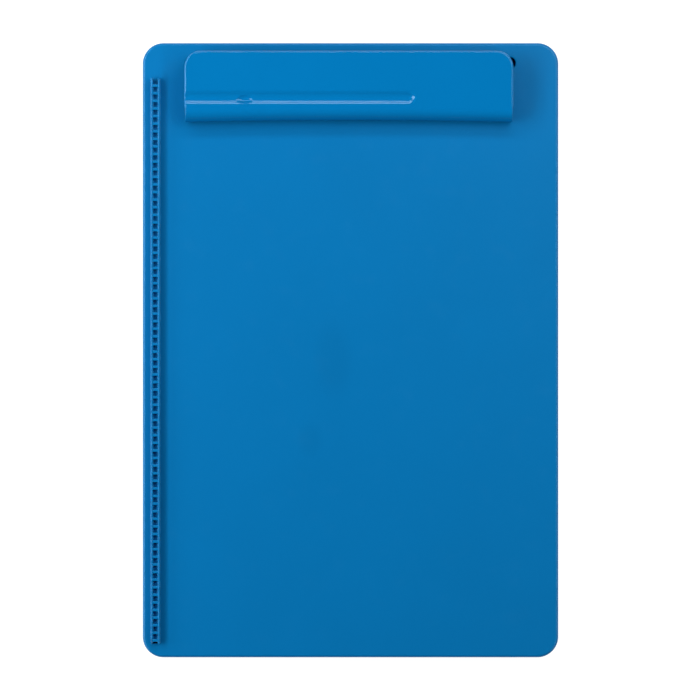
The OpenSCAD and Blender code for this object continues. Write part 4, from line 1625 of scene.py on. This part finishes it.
@dataclass
class Clip:
    """The sprung clip: its lever, jaw pad, brackets, rod, caps, springs and screws.

    Lengths are from the clip's own middle, its lip and the board's surface.
    """

    box: Box
    finishes: Finishes
    shift: float = -0.9
    lip: float = 126.0
    half: float = 90.75
    depth: float = 39.0
    height: float = 12.4
    wall: float = 2.2
    corner: float = 9.0
    edge: float = 1.1
    curl: float = 6.5
    inset: float = 0.5
    bow: float = 1.0
    front: float = 7.9
    lip_gap: float = 1.6
    back_gap: float = 7.8
    heel: float = 1.5
    groove_r: float = 5.5
    groove_lift: float = 4.4
    groove_y: float = 13.2
    groove_end: float = 33.0
    bank: float = 0.55
    dimple_x: float = -57.5
    dimple_y: float = 12.5
    dimple_l: float = 8.6
    dimple_w: float = 4.0
    dimple_d: float = 0.9
    pivot_y: float = 23.0
    pivot_z: float = 5.5
    rod_r: float = 1.5
    rod_play: float = 0.03
    bracket_x: float = 58.0
    bracket_t: float = 2.2
    bracket_back: float = 4.7
    lug: float = 8.0
    ear_r: float = 3.0
    ear_t: float = 3.0
    ear_gap: float = 0.3
    ear_root: float = 1.2
    rod_end: float = 66.7
    rib_x: tuple[float, ...] = (-78.0, -29.0, 0.0, 29.0, 78.0)
    rib_h: float = 4.5
    spring_y: float = 32.4
    seat_r: float = 2.6
    seat_h: float = 3.8
    spring_r: float = 3.4
    wire_r: float = 0.4
    spring_h: float = 10.2
    turns: float = 6.0
    boss_x: float = 10.3
    boss_y: float = -5.3
    boss_r: float = 2.4
    boss_z: Pair = (0.2, 4.6)
    bore_r: float = 1.3
    bore_top: float = 4.0
    pad_y: Pair = (0.3, 3.3)
    pad_low: float = 0.1
    pad_lines: tuple[float, ...] = (1.05, 1.8, 2.55)

    def spot(self, x: float = 0.0, y: float = 0.0, z: float = 0.0) -> Point:
        """A place in the frame, from one in the clip's own lengths."""
        return self.shift + x, self.lip + y, self.box.top + z

    def curled(self, inset: float) -> Solid:
        """Everything behind the lip and under the top, less an inset, with the curl between them."""
        return above(Axis.Y, inset).keep(below(Axis.Z, self.height - inset), self.curl - inset)

    def form(self) -> Solid:
        """The clip's outer form: a curled front, and a back with round corners.

        Returns:
            The solid.
        """
        plan = panel(2 * self.half, 2 * self.depth, self.corner)
        back = plan.keep(below(Axis.Z, self.height), self.edge).keep(above(Axis.Y, self.front), 0.2)
        reach = self.half - self.inset
        front = self.curled(0.0).keep(span(Axis.X, -reach, reach), 0.35)
        return back.join(front.keep(below(Axis.Y, self.front + 1)))

    def hollow(self) -> Solid:
        """The clip's hollow, a wall's thickness inside its outer form."""
        t = self.wall
        return panel(2 * (self.half - t), 2 * (self.depth - t), self.corner - t).keep(self.curled(t), 0.7)

    def groove(self, radius: float) -> Solid:
        """The pen groove, which is open at the left and ends in a round on the right.

        Args:
            radius: The groove's own radius, or more by the wall that is carried round it.

        Returns:
            The solid.
        """
        axis_z = self.height + self.groove_lift

        def distance(x: Array, y: Array, z: Array) -> Array:
            """Distance to a round bar with a ball on its end."""
            past = np.maximum(x - self.groove_end, 0)
            return np.sqrt(past**2 + (y - self.groove_y) ** 2 + (z - axis_z) ** 2) - radius

        return Solid(distance)

    def dimple(self) -> Solid:
        """The lens-shaped dimple in the groove's front bank, cut by a spindle.

        Returns:
            The solid.
        """
        fat = (self.dimple_w**2 / 4 + self.dimple_d**2) / (2 * self.dimple_d)
        reach = self.dimple_l / 2 / math.sqrt(self.dimple_d / fat)
        sunk = math.sqrt((self.groove_r + self.dimple_d - fat) ** 2 - (self.groove_y - self.dimple_y) ** 2)
        level = self.height + self.groove_lift - sunk

        def distance(x: Array, y: Array, z: Array) -> Array:
            """Distance to a spindle along X."""
            along = np.clip((x - self.dimple_x) / reach, -1.2, 1.2)
            away = np.hypot(y - self.dimple_y, z - level)
            return (away - fat * (1 - along**2)) / np.sqrt(1 + (2 * fat * along / reach) ** 2)

        return Solid(distance)

    def underside(self) -> Solid:
        """What is cut from under the cheeks: level to the heel, then rising towards the back.

        Returns:
            The solid.
        """
        heel = self.pivot_y - self.heel
        tilt = math.atan2(self.back_gap - self.lip_gap, self.depth - heel)

        def distance(x: Array, y: Array, z: Array) -> Array:
            """Distance to it."""
            level = z - self.lip_gap
            return np.minimum(level, level * math.cos(tilt) - (y - heel) * math.sin(tilt))

        return Solid(distance)

    def bowed(self, body: Solid) -> Solid:
        """A solid whose front is bowed back in the middle.

        Args:
            body: The solid before it is bowed.

        Returns:
            The bowed solid.
        """
        behind = self.groove_y - math.sqrt(self.groove_r**2 - self.groove_lift**2) - self.bank
        blend = 1.6

        def distance(x: Array, y: Array, z: Array) -> Array:
            """Distance to the bowed solid."""
            across = np.maximum(1 - (x / self.half) ** 2, 0)
            fade = np.clip((behind - y) / blend, 0, 1)
            back = self.bow * across * fade * fade * (3 - 2 * fade)
            return body.distance(x, y - back, z)

        return Solid(distance)

    def lever(self) -> Part:
        """The lever: its shell, cheeks, ears, ribs and spring seats.

        Returns:
            The solid with its grid.
        """
        form, pivot, root = self.form(), (self.pivot_y, self.pivot_z), self.height - self.ear_root
        rib_y, rib_z = (self.wall - 0.5, self.depth - 1.1), (self.height - self.rib_h, self.height - 0.5)
        ribs = [block((x - 0.8, x + 0.8), rib_y, rib_z, 0.25) for x in self.rib_x]
        inner = union([*ribs, self.groove(self.groove_r + self.wall)]).keep(form.moved(dz=-0.02))
        body = form.cut(self.hollow(), SOFT).join(inner, 0.4).keep(form).cut(self.underside(), SOFT)
        for middle in (-self.bracket_x, self.bracket_x):
            for ear in SIDES:
                x = middle + ear * (self.lug / 2 + self.ear_gap + self.ear_t / 2)
                ends = (x - self.ear_t / 2, x + self.ear_t / 2)
                neck = block(ends, (pivot[0] - self.ear_r, pivot[0] + self.ear_r), (pivot[1], root), 0.2)
                body = body.join(stub(Axis.X, pivot, self.ear_r, ends, 0.2).join(neck), SOFT)
            seat = stub(Axis.Z, (middle, self.spring_y), self.seat_r, (self.height - self.seat_h, root), 0.4)
            body = body.join(seat, SOFT)
        body = body.cut(self.groove(self.groove_r).join(self.dimple(), SOFT), self.bank)
        bore = stub(Axis.X, pivot, self.rod_r + 2 * self.rod_play, (-self.rod_end, self.rod_end))
        return self.bowed(body.cut(bore, 0.15)), self.lever_grid()

    def lever_grid(self) -> list[Array]:
        """Grid for the lever: fine at its edges, groove, ears and ribs.

        Returns:
            The planes along X, Y and Z.
        """
        ear_in = self.lug / 2 + self.ear_gap
        offsets = [side * edge for side in SIDES for edge in (ear_in, ear_in + self.ear_t)]
        ears = [side * self.bracket_x + offset for side in SIDES for offset in offsets]
        places = at_ends(self.half, 2.6, 0.26) + at_ends(self.half, self.corner, 0.55)
        places += near(1.1, 0.3, *self.rib_x) + near(5.0, 0.28, self.dimple_x) + near(0.4, 0.24, *ears)
        places += [(self.groove_end - 2, self.groove_end + 4.6, 0.3)]
        places += [(self.groove_end + 4, self.groove_end + 6.6, 0.5)]
        places += near(3.0, 0.5, -self.bracket_x, self.bracket_x)
        xs = grid_lines(-self.half, self.half, 5, places)
        places = [(self.depth - 3.4, self.depth, 0.26), (self.depth - 9, self.depth, 0.6)]
        places += [(0.0, self.curl, 0.36), *near(4.6, 0.28, self.groove_y)]
        places += near(3.5, 0.4, self.pivot_y) + near(3.0, 0.5, self.spring_y)
        ys = grid_lines(0.0, self.depth, 1.5, places)
        zs = grid_lines(1.4, self.height, 0.6, [(self.height - 4.6, self.height, 0.24), (1.4, 9.0, 0.36)])
        return [xs, ys, zs]

    def pad(self) -> Part:
        """The rubber jaw pad, bowed like the lip, with fine ridges along it.

        Returns:
            The solid with its grid.
        """
        half, (front, back), z = self.half - 5, self.pad_y, (self.pad_low, self.lip_gap)
        solid = block((-half, half), self.pad_y, z, 0.25)
        for y in self.pad_lines:
            solid = solid.cut(bar(Axis.X, (y, 0.02), 0.26), 0.06)
        xs = grid_lines(-half, half, 6, at_ends(half, 0.4, 0.12))
        ys = grid_lines(front, back + self.bow, 0.11)
        return self.bowed(solid), [xs, ys, grid_lines(*z, 0.11, spare=0.3)]

    def bracket(self) -> Part:
        """A pivot bracket round X = 0: its base, lug and two screw bosses.

        Returns:
            The solid with its grid.
        """
        y, z, tall, back = self.pivot_y, self.pivot_z, self.bracket_t, self.bracket_back
        wide, front = self.boss_x + self.boss_r + 0.4, self.boss_r - self.boss_y + 0.2
        body = plate(Axis.Z, (0, tall), (-wide, wide), (y - front, y + back), 1.5, 0.35)
        ends = (-self.lug / 2, self.lug / 2)
        lean = math.atan2(back - self.ear_r, z - tall)

        def web(px: Array, py: Array, pz: Array) -> Array:
            """Distance to the lug's sloping web."""
            slope = (np.abs(py - y) - self.ear_r) * math.cos(lean) + (pz - z) * math.sin(lean)
            return np.maximum(slope, pz - z)

        foot = block(ends, (y - back, y + back), (tall - 0.5, z + 1), SOFT)
        body = body.join(stub(Axis.X, (y, z), self.ear_r, ends, SOFT).join(Solid(web).keep(foot)), 0.5)
        for x in (-self.boss_x, self.boss_x):
            at = (x, y + self.boss_y)
            body = body.join(stub(Axis.Z, at, self.boss_r, self.boss_z, 0.4), SOFT)
            body = body.cut(stub(Axis.Z, at, self.bore_r, (-2, self.bore_top)))
        body = body.cut(bar(Axis.X, (y, z), self.rod_r + self.rod_play), 0.2)
        places = near(0.4, 0.2, -wide, wide, *ends) + near(2.8, 0.32, -self.boss_x, self.boss_x)
        xs = grid_lines(-wide, wide, 1, places)
        ys = grid_lines(y - front, y + back, 0.33)
        zs = grid_lines(0.0, z + self.ear_r, 0.33, [(-0.1, 0.4, 0.2), (1.8, 2.3, 0.2)])
        return body, [xs, ys, zs]

    def coil(self) -> Recipe:
        """Tree that sweeps a wire along a helix with closed ends.

        Returns:
            The tree.
        """
        sizes = {
            "Turns": self.turns,
            "Closed Turns": 0.75,
            "Coil Radius": self.spring_r * MM,
            "Wire Radius": self.wire_r * MM,
            "Rise": (self.spring_h - 2 * self.wire_r - 0.1) * MM,
            "Material": self.finishes.spring.material,
        }
        recipe = Recipe("coil_spring", sizes)
        line = recipe.link("GeometryNodeCurvePrimitiveLine")
        fine = recipe.link("GeometryNodeResampleCurve", {"Curve": line, "Count": 30 * int(self.turns) + 1})
        along = recipe.value("GeometryNodeSplineParameter", output="Factor")
        angle = along * recipe.size("Turns") * (2 * math.pi)
        closed = recipe.size("Closed Turns") / recipe.size("Turns")
        climb = ((along - closed) / (closed * -2.0 + 1.0)).math("ADD", 0.0, clamp=True)
        radius, wire_r = recipe.size("Coil Radius"), recipe.size("Wire Radius")
        height = climb * recipe.size("Rise") + wire_r + 0.05 * MM
        spot = {"X": angle.math("COSINE") * radius, "Y": angle.math("SINE") * radius, "Z": height}
        points = {"Geometry": fine, "Position": recipe.link("ShaderNodeCombineXYZ", spot)}
        helix = recipe.link("GeometryNodeSetPosition", points)
        wire = recipe.link("GeometryNodeCurvePrimitiveCircle", {"Resolution": 12, "Radius": wire_r})
        sweep = {"Curve": helix, "Profile Curve": wire, "Fill Caps": True}
        swept = recipe.link("GeometryNodeCurveToMesh", sweep)
        recipe.finish(recipe.link("GeometryNodeSetShadeSmooth", {"Geometry": swept}))
        return recipe

    def springs(self) -> list[Object]:
        """The two springs, which shorten as the clip opens.

        Returns:
            The left one and the right one.
        """
        coil, anchor, made = self.coil(), (0.0, 0.0, self.box.top * MM), []
        for name, side in (("left", -1), ("right", 1)):
            spring = coil.run(mesh_object(f"coil_spring_{name}", np.zeros((0, 3)), []))
            smooth(shifted(spring, *self.spot(side * self.bracket_x, self.spring_y)), 50)
            place(spring, Body.LID, self.finishes.spring, f"clip_spring_{name}")
            made.append(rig.squash(spring, "clip_pivot", axis=(0, 0, 1), anchor=anchor, keep=0.5))
        return made

    def screws(self) -> Object:
        """The four pan-head screws under the board.

        Returns:
            All of them as one piece.
        """
        x, y, _ = self.spot(-self.bracket_x - self.boss_x, self.pivot_y + self.boss_y)
        steps = [(2 * self.boss_x, 0.0, 0.0), (2 * self.bracket_x, 0.0, 0.0)]
        screw = Screw(2.4, 1.25, 6.4, pan=1.5)
        return screw.four("bracket_screw_set", Axis.Z, (x, y, self.box.under), steps, self.finishes.steel)

    def cap(self, name: str, side: int, centre: Point) -> Object:
        """Domed push-on cap at one end of the rod.

        Args:
            name: Left or right.
            side: -1 or 1, to match.
            centre: The rod's middle.

        Returns:
            The cap.
        """
        outer = self.rod_end + 0.5
        inner, bore, rim = outer - 1.6, self.rod_r + self.rod_play, 2.6
        outline = [(0.0, outer - 0.4), (bore, outer - 0.4), (bore, inner), (rim - 0.2, inner)]
        outline += [(rim, inner + 0.2), (rim, outer - 0.7), (rim - 0.12, outer - 0.35)]
        outline += [(rim - 0.45, outer - 0.1), (rim - 0.9, outer), (0.0, outer)]
        if side < 0:
            outline = [(radius, -along) for radius, along in outline[::-1]]
        return lathe(f"rod_end_cap_{name}", outline, Axis.X, centre, 40)

    def build(self) -> list[Object]:
        """Makes the clip's pieces.

        Returns:
            The pieces.
        """
        finishes, zero, centre = self.finishes, self.spot(), self.spot(y=self.pivot_y, z=self.pivot_z)
        lever = moulded("clip_lever_shell", [self.lever()], zero)
        pad = moulded("jaw_pad_strip", [self.pad()], zero)
        axle = rod("clip_pivot_rod", self.rod_r, self.rod_end, 0.25, Axis.X, centre)
        made = [
            place(lever, Body.CLIP, finishes.clip, "clip_lever"),
            place(pad, Body.CLIP, finishes.rubber, "jaw_pad"),
            place(axle, Body.LID, finishes.steel, "clip_rod"),
        ]
        for name, side in (("left", -1), ("right", 1)):
            bracket = moulded(f"pivot_bracket_{name}", [self.bracket()], self.spot(side * self.bracket_x))
            made.append(place(bracket, Body.LID, finishes.inner, f"clip_bracket_{name}"))
            made.append(place(self.cap(name, side, centre), Body.LID, finishes.steel, f"rod_cap_{name}"))
        made += self.springs()
        made.append(place(self.screws(), Body.LID, finishes.steel, "clip_screws"))
        return made


# ---------------------------------------------------------------- studio


@dataclass(frozen=True)
class Softbox:
    """One rectangular lamp that points at the box's middle."""

    name: str
    at: Point
    width: float
    height: float
    watts: float

    def build(self) -> None:
        """Makes the lamp."""
        data = bpy.data.lights.new(self.name, "AREA")
        data.shape = "RECTANGLE"
        data.size, data.size_y = self.width, self.height
        data.energy = self.watts
        lamp = bpy.data.objects.new(self.name, data)
        bpy.context.scene.collection.objects.link(lamp)
        lamp.location = self.at
        lamp.rotation_euler = (-Vector(self.at)).to_track_quat("-Z", "Y").to_euler()


@dataclass
class Studio:
    """Pale floor, soft lamps and a camera straight above the board."""

    camera_height: float = 3.2
    view_height: float = 0.38730
    offset: Pair = (-0.00028, 0.00011)
    board_top: float = 0.0229
    sensor: float = 36.0
    ambient: float = 0.02
    paper_glow: float = 0.9
    floor_half: float = 4000.0
    lamps: tuple[Softbox, ...] = (
        Softbox("lamp_right", (0.514, 0.06, 0.613), 1.3, 0.12, 3.25),
        Softbox("lamp_left", (-0.630, 0.06, 0.493), 1.3, 0.08, 3.4),
        Softbox("lamp_left_high", (-0.556, 0.06, 0.575), 1.3, 0.08, 2.1),
        Softbox("lamp_left_near", (-0.420, 0.13, 0.580), 0.12, 0.12, 0.45),
        Softbox("lamp_left_low", (-0.761, 0.0, 0.247), 0.6, 0.2, 1.78),
        Softbox("lamp_top", (0.0, 0.613, 0.514), 0.7, 0.1, 1.6),
        Softbox("lamp_top_right", (0.288, 0.343, 0.663), 0.4, 0.2, 1.13),
    )

    def camera(self) -> None:
        """Makes the camera, which looks straight down with the clip's end up."""
        data = bpy.data.cameras.new("camera")
        data.sensor_width = self.sensor
        data.lens = self.sensor / 2 / (self.view_height / 2 / self.camera_height)
        data.clip_start, data.clip_end = 0.05, 50.0
        camera = bpy.data.objects.new("camera", data)
        bpy.context.scene.collection.objects.link(camera)
        camera.location = (*self.offset, self.board_top + self.camera_height)
        bpy.context.scene.camera = camera

    def floor(self) -> None:
        """Makes the floor, far larger than the view."""
        half = self.floor_half
        corners = [(-half, -half, 0.0), (half, -half, 0.0), (half, half, 0.0), (-half, half, 0.0)]
        floor = mesh_object("floor", corners, [(0, 1, 2, 3)])
        kit = Shader("floor_paper")
        kit.feed("Base Color", kit.blend(kit.noise(2.0, 3.0), (0.29, 0.29, 0.29), (0.31, 0.31, 0.31)))
        kit.constants({"Roughness": 0.9, "Specular IOR Level": 0.0, "Emission Color": (1.0, 1.0, 1.0, 1.0)})
        kit.constants({"Emission Strength": self.paper_glow})
        floor.data.materials.append(kit.done())
        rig.stage(floor)

    def build(self) -> None:
        """Makes the whole studio."""
        scene = bpy.context.scene
        scene.view_settings.view_transform = "Standard"
        world = bpy.data.worlds.new("studio")
        world.use_nodes = True
        backdrop = world.node_tree.nodes["Background"]
        backdrop.inputs["Color"].default_value = (1.0, 1.0, 1.0, 1.0)
        backdrop.inputs["Strength"].default_value = self.ambient
        scene.world = world
        self.floor()
        for lamp in self.lamps:
            lamp.build()
        self.camera()


# ---------------------------------------------------------------- whole box


def report(pieces: Iterable[Object]) -> None:
    """Logs each piece's name and its number of faces."""
    for piece in pieces:
        log.info("%s: %d faces on %s", piece.name, len(piece.data.polygons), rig.body_of(piece)[0])


def write_sizes() -> None:
    """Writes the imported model's box and the dressed model's box."""
    boxes = {"cad": [list(corner) for corner in CAD_BOX], "visual": [list(corner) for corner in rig.bounds()]}
    with open(SIZE_FILE, "w") as out:
        json.dump(boxes, out)


def main() -> None:
    """Builds the box and the studio."""
    logging.basicConfig(level=logging.INFO, format="%(name)s: %(message)s")
    finishes = mix_finishes()
    box = Box()
    tray = Tray(box, finishes)
    for assembly in (Lid(box, finishes), tray, Latch(box, tray, finishes), Clip(box, finishes)):
        report(assembly.build())
    Studio().build()
    write_sizes()


if __name__ == "__main__":
    main()
